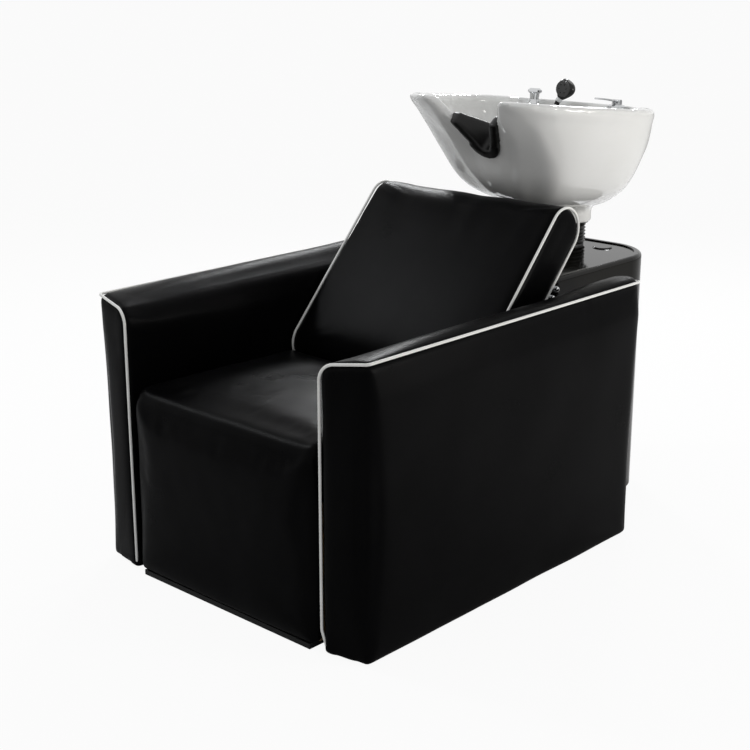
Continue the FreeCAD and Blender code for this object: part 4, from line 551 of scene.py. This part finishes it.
def newPiece(name, bm):
    mesh = bpy.data.meshes.new(name)
    bm.to_mesh(mesh)
    bm.free()
    mesh.polygons.foreach_set("use_smooth", [True] * len(mesh.polygons))
    obj = bpy.data.objects.new(name, mesh)
    scene.collection.objects.link(obj)
    return obj


def mergedCopy(nodeName, closeness=0.02 * millimetre):
    # the loose triangles joined
    bm = bmesh.new()
    bm.from_mesh(nodes[nodeName].data)
    bmesh.ops.remove_doubles(bm, verts=bm.verts, dist=closeness)
    return bm


def applied(obj):
    evaluated = obj.evaluated_get(bpy.context.evaluated_depsgraph_get())
    mesh = bpy.data.meshes.new_from_object(evaluated)
    obj.modifiers.clear()
    old = obj.data
    obj.data = mesh
    bpy.data.meshes.remove(old)
    return obj


def thinned(obj, most):
    count = sum(len(face.vertices) - 2 for face in obj.data.polygons)
    if count > most:
        obj.modifiers.new("thin", "DECIMATE").ratio = most / count
        obj = applied(obj)
    return obj


def normalsOf(obj):
    obj.data.update()
    return [vert.normal.copy() for vert in obj.data.vertices]


def remeshed(obj, voxel):
    modifier = obj.modifiers.new("voxels", "REMESH")
    modifier.mode = "VOXEL"
    modifier.voxel_size = voxel
    modifier.use_smooth_shade = True
    return applied(obj)


def eased(obj, repeats, group=""):
    modifier = obj.modifiers.new("ease", "SMOOTH")
    modifier.factor = easeFactor
    modifier.iterations = repeats
    modifier.vertex_group = group
    return applied(obj)


def withoutInside(bm, isInside):
    # takes out an inner hollow and closes the openings that this leaves
    hidden = [face for face in bm.faces if isInside(face.calc_center_median())]
    bmesh.ops.delete(bm, geom=hidden, context="FACES")
    loose = [vert for vert in bm.verts if not vert.link_faces]
    bmesh.ops.delete(bm, geom=loose, context="VERTS")
    rims = [edge for edge in bm.edges if edge.is_boundary]
    bmesh.ops.holes_fill(bm, edges=rims, sides=0)
    bmesh.ops.triangulate(bm, faces=[face for face in bm.faces if len(face.verts) > 4])
    return bm


clothLook = {"mass": 0.35, "quality": 4, "bending": 0.6}


def swelled(obj, s):
    # a cloth run blows the cover up, and no point goes further than the cap
    start = [vert.co.copy() for vert in obj.data.vertices]
    modifier = obj.modifiers.new("padding", "CLOTH")
    cloth = modifier.settings
    cloth.use_pressure = True
    cloth.uniform_pressure_force = s["pressure"]
    cloth.mass = clothLook["mass"]
    cloth.quality = clothLook["quality"]
    cloth.tension_stiffness = s["stiffness"]
    cloth.compression_stiffness = s["stiffness"]
    cloth.bending_stiffness = clothLook["bending"]
    cloth.effector_weights.gravity = 0
    modifier.collision_settings.use_collision = False
    held = obj.vertex_groups.new(name="held")
    for index, place in enumerate(start):
        hold = s["hold"](place)
        if hold > 0:
            held.add([index], hold, "REPLACE")
    cloth.vertex_group_mass = held.name
    for step in range(1, s["steps"] + 1):
        scene.frame_set(step)
    evaluated = obj.evaluated_get(bpy.context.evaluated_depsgraph_get())
    moved = [vert.co.copy() for vert in evaluated.data.vertices]
    obj.modifiers.clear()
    scene.frame_set(1)
    for vert, before, after in zip(obj.data.vertices, start, moved):
        shift = after - before
        if shift.length > 0:
            shift *= s["cap"] * (1 - math.exp(-shift.length / s["cap"])) / shift.length
        vert.co = before + shift
    obj.vertex_groups.clear()


def subdivided(obj):
    modifier = obj.modifiers.new("fine", "SUBSURF")
    modifier.levels = 1
    modifier.render_levels = 1
    return applied(obj)


def smoothStep(value, low, high):
    share = min(max((value - low) / (high - low), 0.0), 1.0)
    return share * share * (3 - 2 * share)


def cordFinder(*nodeNames):
    # gives the gap from a place to the nearest piping, and the place on it
    trees = []
    for nodeName in nodeNames:
        bm = mergedCopy(nodeName)
        trees.append(BVHTree.FromBMesh(bm))
        bm.free()

    def find(place, reach):
        found = [hit for hit in (tree.find_nearest(place, reach) for tree in trees) if hit[0] is not None]
        if not found:
            return None, None
        nearest = min(found, key=lambda hit: hit[3])
        return nearest[3], nearest[0]

    return find


seamLook = {
    "reach": 0.07,
    "hold": 0.009,  # a cloth run moves nothing nearer to the piping than this
    "tuck": 1.5 * millimetre,  # how far the skin is pulled in under the piping
    "tuckWidth": 4.5 * millimetre,
    "roll": 1.3 * millimetre,  # the soft ridge beside it
    "rollWidth": 15.0 * millimetre,
    "pucker": 0.75 * millimetre,
    "puckerLength": 21.0 * millimetre,
    "puckerReach": 30.0 * millimetre,
    "fadeLength": 0.11,  # the puckers come and go over this length
    "fadeSeed": (7, 0, 0),
}


def drawnIn(obj, find):
    # the skin dips and puckers where it is sewn to the piping
    s = seamLook
    fadeSeed = Vector(s["fadeSeed"])
    for vert, normal in zip(obj.data.vertices, normalsOf(obj)):
        gap, place = find(vert.co, s["reach"])
        if gap is None:
            continue
        tuck = s["tuck"] * math.exp(-((gap / s["tuckWidth"]) ** 2))
        wide = gap / s["rollWidth"]
        roll = s["roll"] * wide * math.exp(1 - wide)
        fade = 0.5 + noise.noise(place / s["fadeLength"] + fadeSeed)
        crease = noise.noise(place / s["puckerLength"]) * fade
        pucker = s["pucker"] * crease * math.exp(-gap / s["puckerReach"])
        vert.co += normal * (roll + pucker - tuck)
    obj.data.update()


def rumpled(obj, depth, reach, seed):
    # slow unevenness, as foam under a stretched skin has
    for vert, normal in zip(obj.data.vertices, normalsOf(obj)):
        place = vert.co / reach + Vector((seed, 0, 0))
        vert.co += normal * depth * noise.noise(place)
    obj.data.update()


# Arm covers

armLook = {
    "voxel": 7.0 * millimetre,
    "pressure": 3.0,
    "stiffness": 14.0,
    "steps": 14,
    "cap": 5.0 * millimetre,
    "sideFlare": 8.0 * millimetre,  # how far the outer side stands out below its top edge
    "rearFlare": 10.0 * millimetre,
    "rearFoot": 3.0 * millimetre,
    "rearCrown": 8.0 * millimetre,  # the top is full right up to the rear seam
    "unevenness": 1.1 * millimetre,
    "reach": 0.13,
    "innerHold": 0.012,  # the cloth run holds the lower part of the inner side
    "innerHoldShare": 0.62,
    "footHold": 0.010,
    "underRange": (0.012, 0.085),  # below the top, where the flare begins and is full
    "sideShare": (0.55, 0.45, 0.2),  # at the ends, added in the middle, and how soon
    "rearReach": 0.11,
    "rearFull": 0.7,
    "crownRise": (0.30, 0.03),  # from the rear
    "crownFall": 0.014,
    "crownPower": 3,
    "crownFacing": (0.2, 0.7),
    "fill": 0.95,
}


def makeArmCover(name, nodeName, seed):
    s = armLook
    low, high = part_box(nodeName)
    frameLow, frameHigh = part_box(nodeName.replace("cover", "frame"))
    find = cordFinder(nodeName.replace("cover", "piping"))
    slack = millimetre
    outward = 1 if low.x + high.x > 0 else -1
    tall = high.z - low.z
    nearX, farX = sorted((abs(low.x), abs(high.x)))

    def isInside(place):
        boxed = all(frameLow[i] - slack < place[i] < frameHigh[i] + slack for i in range(3))
        return boxed and place.z > low.z + slack

    def hold(place):
        gap, _ = find(place, seamLook["hold"])
        inner = abs(place.x) < nearX + s["innerHold"] and place.z < low.z + s["innerHoldShare"] * tall
        return 1.0 if gap is not None or inner or place.z < low.z + s["footHold"] else 0.0

    obj = newPiece(name, withoutInside(mergedCopy(nodeName), isInside))
    obj = remeshed(obj, s["voxel"])
    obj = eased(obj, 2)
    swelled(obj, {**s, "hold": hold})
    obj = subdivided(obj)
    atEnds, gain, soon = s["sideShare"]
    for vert in obj.data.vertices:
        up = (vert.co.z - low.z) / tall
        under = smoothStep(high.z - vert.co.z, *s["underRange"])
        side = smoothStep(abs(vert.co.x), abs(low.x + high.x) / 2, farX)
        rear = smoothStep(vert.co.y, high.y - s["rearReach"], high.y)
        endGap = min(vert.co.y - low.y, high.y - vert.co.y) / (high.y - low.y)
        share = atEnds + gain * smoothStep(endGap, 0.0, soon)
        vert.co.x += outward * side * under * s["sideFlare"] * up * share
        full = smoothStep(up, 0, s["rearFull"])
        vert.co.y += rear * under * (s["rearFoot"] + (s["rearFlare"] - s["rearFoot"]) * full)
    obj = eased(obj, 2)
    riseFrom, riseTo = s["crownRise"]
    for vert, normal in zip(obj.data.vertices, normalsOf(obj)):
        rise = smoothStep(vert.co.y, high.y - riseFrom, high.y - riseTo)
        rear = rise * (1 - smoothStep(vert.co.y, high.y - s["crownFall"], high.y))
        middle = 1 - abs(2 * (vert.co.x - low.x) / (high.x - low.x) - 1) ** s["crownPower"]
        vert.co.z += s["rearCrown"] * rear * max(middle, 0.0) * smoothStep(normal.z, *s["crownFacing"])
    drawnIn(obj, find)
    rumpled(obj, s["unevenness"], s["reach"], seed)
    dress(obj, "vinyl", bodyOf(nodeName))
    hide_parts(nodeName)


makeArmCover("leftArmCover", "left_arm_cover", 3.0)
makeArmCover("rightArmCover", "right_arm_cover", 11.0)
print("arm covers made")


# Arm piping, a cord in a sewn skin that follows the edge of each arm

pipingLook = {
    "Cord Radius": 2.75 * millimetre,
    "Ring Points": 12,
    "Step": 2.0 * millimetre,
    "Corner Points": 14,
    "Fold Spacing": 7.5 * millimetre,  # the skin bunches a little round the cord
    "Fold Depth": 0.10 * millimetre,
}

pipingRoute = {
    "slant": 17.0 * millimetre,  # how far the inner front edge stands ahead of the outer one
    "drop": 16.0 * millimetre,  # how far the inner edge lies below the outer one
    "rearEnd": (34.0 * millimetre, 3.0 * millimetre),
    "foot": (7.0 * millimetre, 5.0 * millimetre, 14.0 * millimetre),  # the cord's end turns in
    "kneeHeight": 46.0 * millimetre,
    "corners": (0.0, 40.0 * millimetre, 34.0 * millimetre, 9.0 * millimetre, 24.0 * millimetre, 0.0),
}


def makePipingTree():
    tree = bpy.data.node_groups.new("sewnPiping", "GeometryNodeTree")
    tree.interface.new_socket("Geometry", in_out="INPUT", socket_type="NodeSocketGeometry")
    for label, value in pipingLook.items():
        kind = "NodeSocketInt" if isinstance(value, int) else "NodeSocketFloat"
        tree.interface.new_socket(label, in_out="INPUT", socket_type=kind)
    tree.interface.new_socket("Skin", in_out="INPUT", socket_type="NodeSocketMaterial")
    tree.interface.new_socket("Geometry", in_out="OUTPUT", socket_type="NodeSocketGeometry")
    source = tree.nodes.new("NodeGroupInput").outputs
    link = tree.links.new

    line = tree.nodes.new("GeometryNodeMeshToCurve")
    link(source["Geometry"], line.inputs["Mesh"])
    corner = tree.nodes.new("GeometryNodeInputNamedAttribute")
    corner.data_type = "FLOAT"
    corner.inputs["Name"].default_value = "cornerRadius"
    rounded = tree.nodes.new("GeometryNodeFilletCurve")
    rounded.mode = "POLY"
    link(line.outputs["Curve"], rounded.inputs["Curve"])
    link(source["Corner Points"], rounded.inputs["Count"])
    link(corner.outputs["Attribute"], rounded.inputs["Radius"])
    even = tree.nodes.new("GeometryNodeResampleCurve")
    even.mode = "LENGTH"
    link(rounded.outputs["Curve"], even.inputs["Curve"])
    link(source["Step"], even.inputs["Length"])
    place = tree.nodes.new("GeometryNodeSplineParameter")
    kept = tree.nodes.new("GeometryNodeCaptureAttribute")
    kept.capture_items.new("FLOAT", "Along")
    link(even.outputs["Curve"], kept.inputs["Geometry"])
    link(place.outputs["Length"], kept.inputs["Along"])

    ring = tree.nodes.new("GeometryNodeCurvePrimitiveCircle")
    link(source["Ring Points"], ring.inputs["Resolution"])
    link(source["Cord Radius"], ring.inputs["Radius"])
    tube = tree.nodes.new("GeometryNodeCurveToMesh")
    link(kept.outputs["Geometry"], tube.inputs["Curve"])
    link(ring.outputs["Curve"], tube.inputs["Profile Curve"])
    tube.inputs["Fill Caps"].default_value = True

    turns = mathNode(tree, "DIVIDE", kept.outputs["Along"], source["Fold Spacing"])
    wave = mathNode(tree, "SINE", mathNode(tree, "MULTIPLY", turns, 2 * math.pi), 0)
    out = tree.nodes.new("ShaderNodeVectorMath")
    out.operation = "SCALE"
    link(tree.nodes.new("GeometryNodeInputNormal").outputs["Normal"], out.inputs[0])
    link(mathNode(tree, "MULTIPLY", wave, source["Fold Depth"]), out.inputs["Scale"])
    folded = tree.nodes.new("GeometryNodeSetPosition")
    link(tube.outputs["Mesh"], folded.inputs["Geometry"])
    link(out.outputs["Vector"], folded.inputs["Offset"])
    soft = tree.nodes.new("GeometryNodeSetShadeSmooth")
    link(folded.outputs["Geometry"], soft.inputs["Geometry"])
    real = tree.nodes.new("GeometryNodeRealizeInstances")
    link(soft.outputs["Geometry"], real.inputs["Geometry"])
    skin = tree.nodes.new("GeometryNodeSetMaterial")
    link(real.outputs["Geometry"], skin.inputs["Geometry"])
    link(source["Skin"], skin.inputs["Material"])
    sink = tree.nodes.new("NodeGroupOutput")
    link(skin.outputs["Geometry"], sink.inputs["Geometry"])
    return tree


pipingTree = makePipingTree()


def makeArmPiping(name, nodeName):
    low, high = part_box(nodeName)
    radius = pipingLook["Cord Radius"]
    outward = 1 if low.x + high.x > 0 else -1
    innerX = outward * (min(abs(low.x), abs(high.x)) + radius)
    outerX = outward * (max(abs(low.x), abs(high.x)) - radius)
    frontY = low.y + radius
    rearY = high.y - radius
    edgeZ = high.z - radius
    across, lift = pipingRoute["rearEnd"]
    footIn, footBack, footLift = pipingRoute["foot"]
    innerZ = edgeZ - pipingRoute["drop"]
    points = [
        (innerX + outward * footIn, frontY + footBack, low.z + footLift),
        (innerX, frontY, low.z + pipingRoute["kneeHeight"]),
        (innerX, frontY, innerZ),
        (outerX, frontY + pipingRoute["slant"], edgeZ),
        (outerX, rearY, edgeZ),
        (innerX + outward * across, rearY, innerZ + lift),
    ]
    mesh = bpy.data.meshes.new(name)
    mesh.from_pydata(points, [(index, index + 1) for index in range(len(points) - 1)], [])
    mesh.attributes.new("cornerRadius", "FLOAT", "POINT").data.foreach_set("value", pipingRoute["corners"])
    obj = bpy.data.objects.new(name, mesh)
    scene.collection.objects.link(obj)
    modifier = obj.modifiers.new("piping", "NODES")
    modifier.node_group = pipingTree
    values = {**pipingLook, "Skin": materials["piping"]}
    for item in pipingTree.interface.items_tree:
        if item.in_out == "INPUT" and item.name in values:
            modifier[item.identifier] = values[item.name]
    obj = applied(obj)
    dress(obj, "piping", bodyOf(nodeName))
    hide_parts(nodeName)


makeArmPiping("leftArmPiping", "left_arm_piping")
makeArmPiping("rightArmPiping", "right_arm_piping")
print("arm piping made")


# Seat cushion

seatLook = {
    "voxel": 6.0 * millimetre,
    "pressure": 3.0,
    "stiffness": 14.0,
    "steps": 18,
    "cap": 5.0 * millimetre,
    "unevenness": 1.5 * millimetre,
    "reach": 0.15,
    "easeRepeats": 24,
    "fineShare": 0.3,  # a finer, shallower unevenness over the slow one
    "seeds": (5.0, 2.0),
    "apronHold": 4 * millimetre,
    "webHold": 6 * millimetre,
    "footHold": 12 * millimetre,
    "rearHold": 8 * millimetre,
    "creaseDepth": 3.0 * millimetre,  # pinch at the front corners under the arms' piping
    "creasePlace": (0.006, 0.012, 0.030),  # inwards, to the rear and down from the corner
    "creaseSize": (0.030, 0.011, 0.040),
    "creaseLean": 0.4,
    "fill": 0.85,
}


def makeSeat():
    s = seatLook
    low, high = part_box("seat_cushion")
    boardLow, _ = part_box("front_board")
    _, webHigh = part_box("seat_webbing")

    def hold(place):
        behindApron = place.y > boardLow.y - s["apronHold"] and place.z < webHigh.z + s["webHold"]
        nearFloor = place.z < low.z + s["footHold"]
        rear = place.y > high.y - s["rearHold"]
        return 1.0 if behindApron or nearFloor or rear else 0.0

    obj = newPiece("seatCushion", mergedCopy("seat_cushion"))
    obj = remeshed(obj, s["voxel"])
    obj = eased(obj, 2)
    swelled(obj, {**s, "hold": hold})
    obj = subdivided(obj)
    obj = eased(obj, s["easeRepeats"])
    slowSeed, fineSeed = s["seeds"]
    rumpled(obj, s["unevenness"], s["reach"], slowSeed)
    rumpled(obj, s["unevenness"] * s["fineShare"], s["reach"] * s["fineShare"], fineSeed)
    inwards, rearwards, down = s["creasePlace"]
    wide, deep, tall = s["creaseSize"]
    for vert, normal in zip(obj.data.vertices, normalsOf(obj)):
        for side in (-1, 1):
            corner = Vector((side * (high.x - inwards), low.y + rearwards, high.z - down))
            away = vert.co - corner
            leant = (away.y + s["creaseLean"] * away.z) / deep
            pinch = math.exp(-((away.x / wide) ** 2) - leant ** 2 - (away.z / tall) ** 2)
            vert.co -= normal * s["creaseDepth"] * pinch
    dress(obj, "vinyl", bodyOf("seat_cushion"))
    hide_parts("seat_cushion")


makeSeat()
print("seat cushion made")


# Backrest cushion

backrestLook = {
    "voxel": 6.0 * millimetre,
    "pressure": 3.2,
    "stiffness": 12.0,
    "steps": 18,
    "cap": 7.0 * millimetre,
    "unevenness": 1.5 * millimetre,
    "reach": 0.15,
    "topUnevenness": 2.4 * millimetre,  # the skin is loose over the top roll
    "topReach": 0.055,
    "topDrift": 0.2,
    "topRange": (0.11, 0.01),  # below the top
    "topClear": (0.004, 0.03),  # from the piping
    "slope": 42.0,  # degrees from upright
    "boardCloseness": 0.01 * millimetre,
    "boardSlack": 0.5 * millimetre,
    "seed": 8.0,
    "fill": 0.9,
}


def solidCushion(bm):
    # without the hollow that the board fills
    s = backrestLook
    _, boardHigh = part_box("backrest_board")
    half = boardHigh.x + millimetre
    slope = math.radians(s["slope"])
    upwards = Vector((0, math.sin(slope), math.cos(slope)))
    front = Vector((0, -math.cos(slope), math.sin(slope)))
    board = mergedCopy("backrest_board", s["boardCloseness"])
    depths = [front.dot(vert.co) for vert in board.verts]
    lengths = [upwards.dot(vert.co) for vert in board.verts]
    board.free()
    slack = s["boardSlack"]

    def isInside(place):
        deep = min(depths) - slack < front.dot(place) < max(depths) + slack
        long = min(lengths) - slack < upwards.dot(place) < max(lengths) + slack
        return deep and long and abs(place.x) < half

    return withoutInside(bm, isInside)


def makeBackrest():
    s = backrestLook
    _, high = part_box("backrest_cushion")
    find = cordFinder("backrest_piping")

    def hold(place):
        gap, _ = find(place, seamLook["hold"])
        return 0.0 if gap is None else 1.0

    obj = newPiece("backrestCushion", solidCushion(mergedCopy("backrest_cushion")))
    obj = remeshed(obj, s["voxel"])
    obj = eased(obj, 2)
    swelled(obj, {**s, "hold": hold})
    obj = subdivided(obj)
    obj = eased(obj, 2)
    drawnIn(obj, find)
    rumpled(obj, s["unevenness"], s["reach"], s["seed"])
    topFrom, topTo = s["topRange"]
    clearFrom, clearTo = s["topClear"]
    for vert, normal in zip(obj.data.vertices, normalsOf(obj)):
        top = smoothStep(vert.co.z, high.z - topFrom, high.z - topTo)
        gap, _ = find(vert.co, clearTo)
        free = 1.0 if gap is None else smoothStep(gap, clearFrom, clearTo)
        place = Vector((vert.co.x / s["topReach"], vert.co.z / s["topDrift"], vert.co.y / s["topDrift"]))
        vert.co += normal * s["topUnevenness"] * top * free * noise.noise(place)
    dress(obj, "vinyl", bodyOf("backrest_cushion"))
    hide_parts("backrest_cushion")


makeBackrest()
print("backrest made")


# Ceramic bowl

bowlLook = {
    "mostTriangles": 190000,
    "voxel": 3.2 * millimetre,
    "repeats": 6,
    "middleY": 0.400,  # the upright line that the angles turn about, in degrees from straight ahead
    "shapeHeights": (0.62, 0.66, 0.70, 0.74, 0.78, 0.82, 0.86, 0.90, 0.94),
    "scoopDepths": (0.0, 1.0, 11.0, 20.0, 22.0, 17.0, 8.0, 0.0, 0.0),  # mm
    "scoopStarts": (3.0, 3.0, 3.0, 4.0, 6.0, 11.0, 18.0, 20.0, 20.0),
    "scoopEnds": (50.0, 50.0, 50.0, 50.0, 48.0, 43.0, 38.0, 34.0, 34.0),
    "cornerSwells": (0.0, 1.0, 5.0, 6.0, 3.0, 1.5, 0.0, 0.0, 0.0),  # mm
    "cornerAngles": (56.0, 56.0, 56.0, 54.0, 52.0, 50.0, 48.0, 48.0, 48.0),
    "cornerWidth": 15.0,
    "wall": 46.0 * millimetre,  # more than the wall's thickness
    "lipReach": 16.0 * millimetre,
    "lipRepeats": 40,
    "lipRoll": 3.5 * millimetre,  # the glazed lip stands out a little past the wall
    "lipRollPlace": 0.8,  # of the reach
    "lipRollUpShare": 0.6,
    "lipFloor": 0.81,  # no lip is lower than this
    "probeDepth": 0.4 * millimetre,
    "behindEnd": -0.15,  # the scoops reach no further to the rear
    "clearRange": (0.002, 0.012),  # round the fittings
    "fittings": ("mixer_body", "vacuum_breaker", "hose_guide", "neck_rest"),
}


def along(places, values, place):
    # a smooth line through the values
    place = min(max(place, places[0]), places[-1])
    index = min(int((place - places[0]) / (places[1] - places[0])), len(places) - 2)
    share = (place - places[index]) / (places[index + 1] - places[index])
    last = len(values) - 1
    before, start, end, after = (values[min(max(index + step, 0), last)] for step in (-1, 0, 1, 2))
    slopeIn = (end - before) / 2
    slopeOut = (after - start) / 2
    square = share * share
    cube = square * share
    return (
        (2 * cube - 3 * square + 1) * start + (cube - 2 * square + share) * slopeIn
        + (3 * square - 2 * cube) * end + (cube - square) * slopeOut
    )


def scooped(obj, s):
    # the cast front sweeps from the neck notch to the sides in one hollow
    for vert in obj.data.vertices:
        ahead = s["middleY"] - vert.co.y
        if ahead <= s["behindEnd"]:
            continue
        angle = math.degrees(math.atan2(abs(vert.co.x), ahead))
        start, end, depth, swell, corner = (
            along(s["shapeHeights"], s[label], vert.co.z)
            for label in ("scoopStarts", "scoopEnds", "scoopDepths", "cornerSwells", "cornerAngles")
        )
        share = min(max((angle - start) / (end - start), 0.0), 1.0)
        shift = swell * math.exp(-(((angle - corner) / s["cornerWidth"]) ** 2))
        shift -= depth * math.sin(math.pi * share) ** 2
        shift *= millimetre / math.hypot(vert.co.x, ahead)
        vert.co.x += shift * vert.co.x
        vert.co.y -= shift * ahead
    obj.data.update()


def lipped(obj, s, keepClear):
    # a vertex with nothing close behind it is on the lip, where the clay and glaze are round
    mesh = obj.data
    mesh.update()
    places = [vert.co.copy() for vert in mesh.vertices]
    skin = BVHTree.FromPolygons(places, [tuple(polygon.vertices) for polygon in mesh.polygons])
    lip = []
    for vert in mesh.vertices:
        if vert.co.z > s["lipFloor"] and keepClear(vert.co) < 0.99:
            start = vert.co - vert.normal * s["probeDepth"]
            if skin.ray_cast(start, -vert.normal, s["wall"])[0] is None:
                lip.append(vert.co.copy())
    tree = KDTree(len(lip))
    for index, place in enumerate(lip):
        tree.insert(place, index)
    tree.balance()
    lipGroup = obj.vertex_groups.new(name="lip")
    gaps = [tree.find(place)[2] for place in places]
    for index, (place, gap) in enumerate(zip(places, gaps)):
        weight = (1 - smoothStep(gap, s["lipReach"], 2 * s["lipReach"])) * (1 - keepClear(place))
        if weight > 0:
            lipGroup.add([index], weight, "REPLACE")
    eased(obj, s["lipRepeats"], "lip")
    obj.vertex_groups.clear()
    for vert, normal, gap in zip(obj.data.vertices, normalsOf(obj), gaps):
        away = (gap - s["lipRollPlace"] * s["lipReach"]) / s["lipReach"]
        roll = s["lipRoll"] * math.exp(-(away ** 2)) * (1 - keepClear(vert.co))
        vert.co += Vector((normal.x, normal.y, normal.z * s["lipRollUpShare"])) * roll
    obj.data.update()


def makeBowl():
    fittings = [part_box(name) for name in bowlLook["fittings"]]

    def keepClear(place):
        nearest = 1.0
        for low, high in fittings:
            outside = [max(low[i] - place[i], place[i] - high[i], 0.0) for i in range(3)]
            nearest = min(nearest, Vector(outside).length)
        return 1 - smoothStep(nearest, *bowlLook["clearRange"])

    obj = newPiece("ceramicBowl", mergedCopy("bowl"))
    obj = remeshed(obj, bowlLook["voxel"])
    scooped(obj, bowlLook)
    obj = eased(obj, bowlLook["repeats"])
    lipped(obj, bowlLook, keepClear)
    obj = eased(obj, bowlLook["repeats"])
    obj = thinned(obj, bowlLook["mostTriangles"])
    dress(obj, "ceramic", bodyOf("bowl"))
    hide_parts("bowl")


makeBowl()
print("bowl made")


# Moulded parts with soft edges

mouldedLook = {  # voxel and regrow in millimetres
    "neck_rest": {"piece": "neckRest", "voxel": 2.2, "repeats": 38, "regrow": 2.0},
    "spray_head": {"piece": "sprayHead", "voxel": 0.8, "repeats": 12, "regrow": 0.2},
}


def makeMoulded(nodeName, piece, voxel, repeats, regrow):
    obj = newPiece(piece, mergedCopy(nodeName))
    obj = remeshed(obj, voxel * millimetre)
    obj = eased(obj, repeats)
    for vert, normal in zip(obj.data.vertices, normalsOf(obj)):
        vert.co += normal * regrow * millimetre
    dress(obj, slotOf[nodeName], bodyOf(nodeName))
    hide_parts(nodeName)


for nodeName, look in mouldedLook.items():
    makeMoulded(nodeName, **look)
print("moulded parts made")


# The bellows and the supply hoses are cut into level slices between the ends of the bellows

bendLook = {
    "pieces": {"bellows": "bendingBellows", "supply_hoses": "bendingHoses"},
    "held": 4.0 * millimetre,  # each end of the bellows stays as it is
    "slice": 6.0 * millimetre,
    "sharpAngle": math.radians(40),
}


def makeBending(nodeName, piece):
    low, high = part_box("bellows")
    start = low.z + bendLook["held"]
    end = high.z - bendLook["held"]
    bm = mergedCopy(nodeName)
    for index in range(int((end - start) / bendLook["slice"]) + 1):
        height = start + index * bendLook["slice"]
        everything = bm.verts[:] + bm.edges[:] + bm.faces[:]
        bmesh.ops.bisect_plane(bm, geom=everything, plane_co=(0, 0, height), plane_no=(0, 0, 1))
    obj = newPiece(piece, bm)
    obj.data.set_sharp_from_angle(angle=bendLook["sharpAngle"])
    obj.data.materials.append(materials[slotOf[nodeName]])
    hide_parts(nodeName)
    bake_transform(obj)


for nodeName, piece in bendLook["pieces"].items():
    makeBending(nodeName, piece)
print("bending pieces made")


# Pieces whose CAD form is already right get their finish here


def dressFrameNodes():
    count = 0
    for nodeName, obj in nodes.items():
        if obj.hide_render:
            continue
        obj.data.materials.clear()
        obj.data.materials.append(materials[slotOf[nodeName]])
        count += 1
    print("finished CAD pieces:", count)


dressFrameNodes()
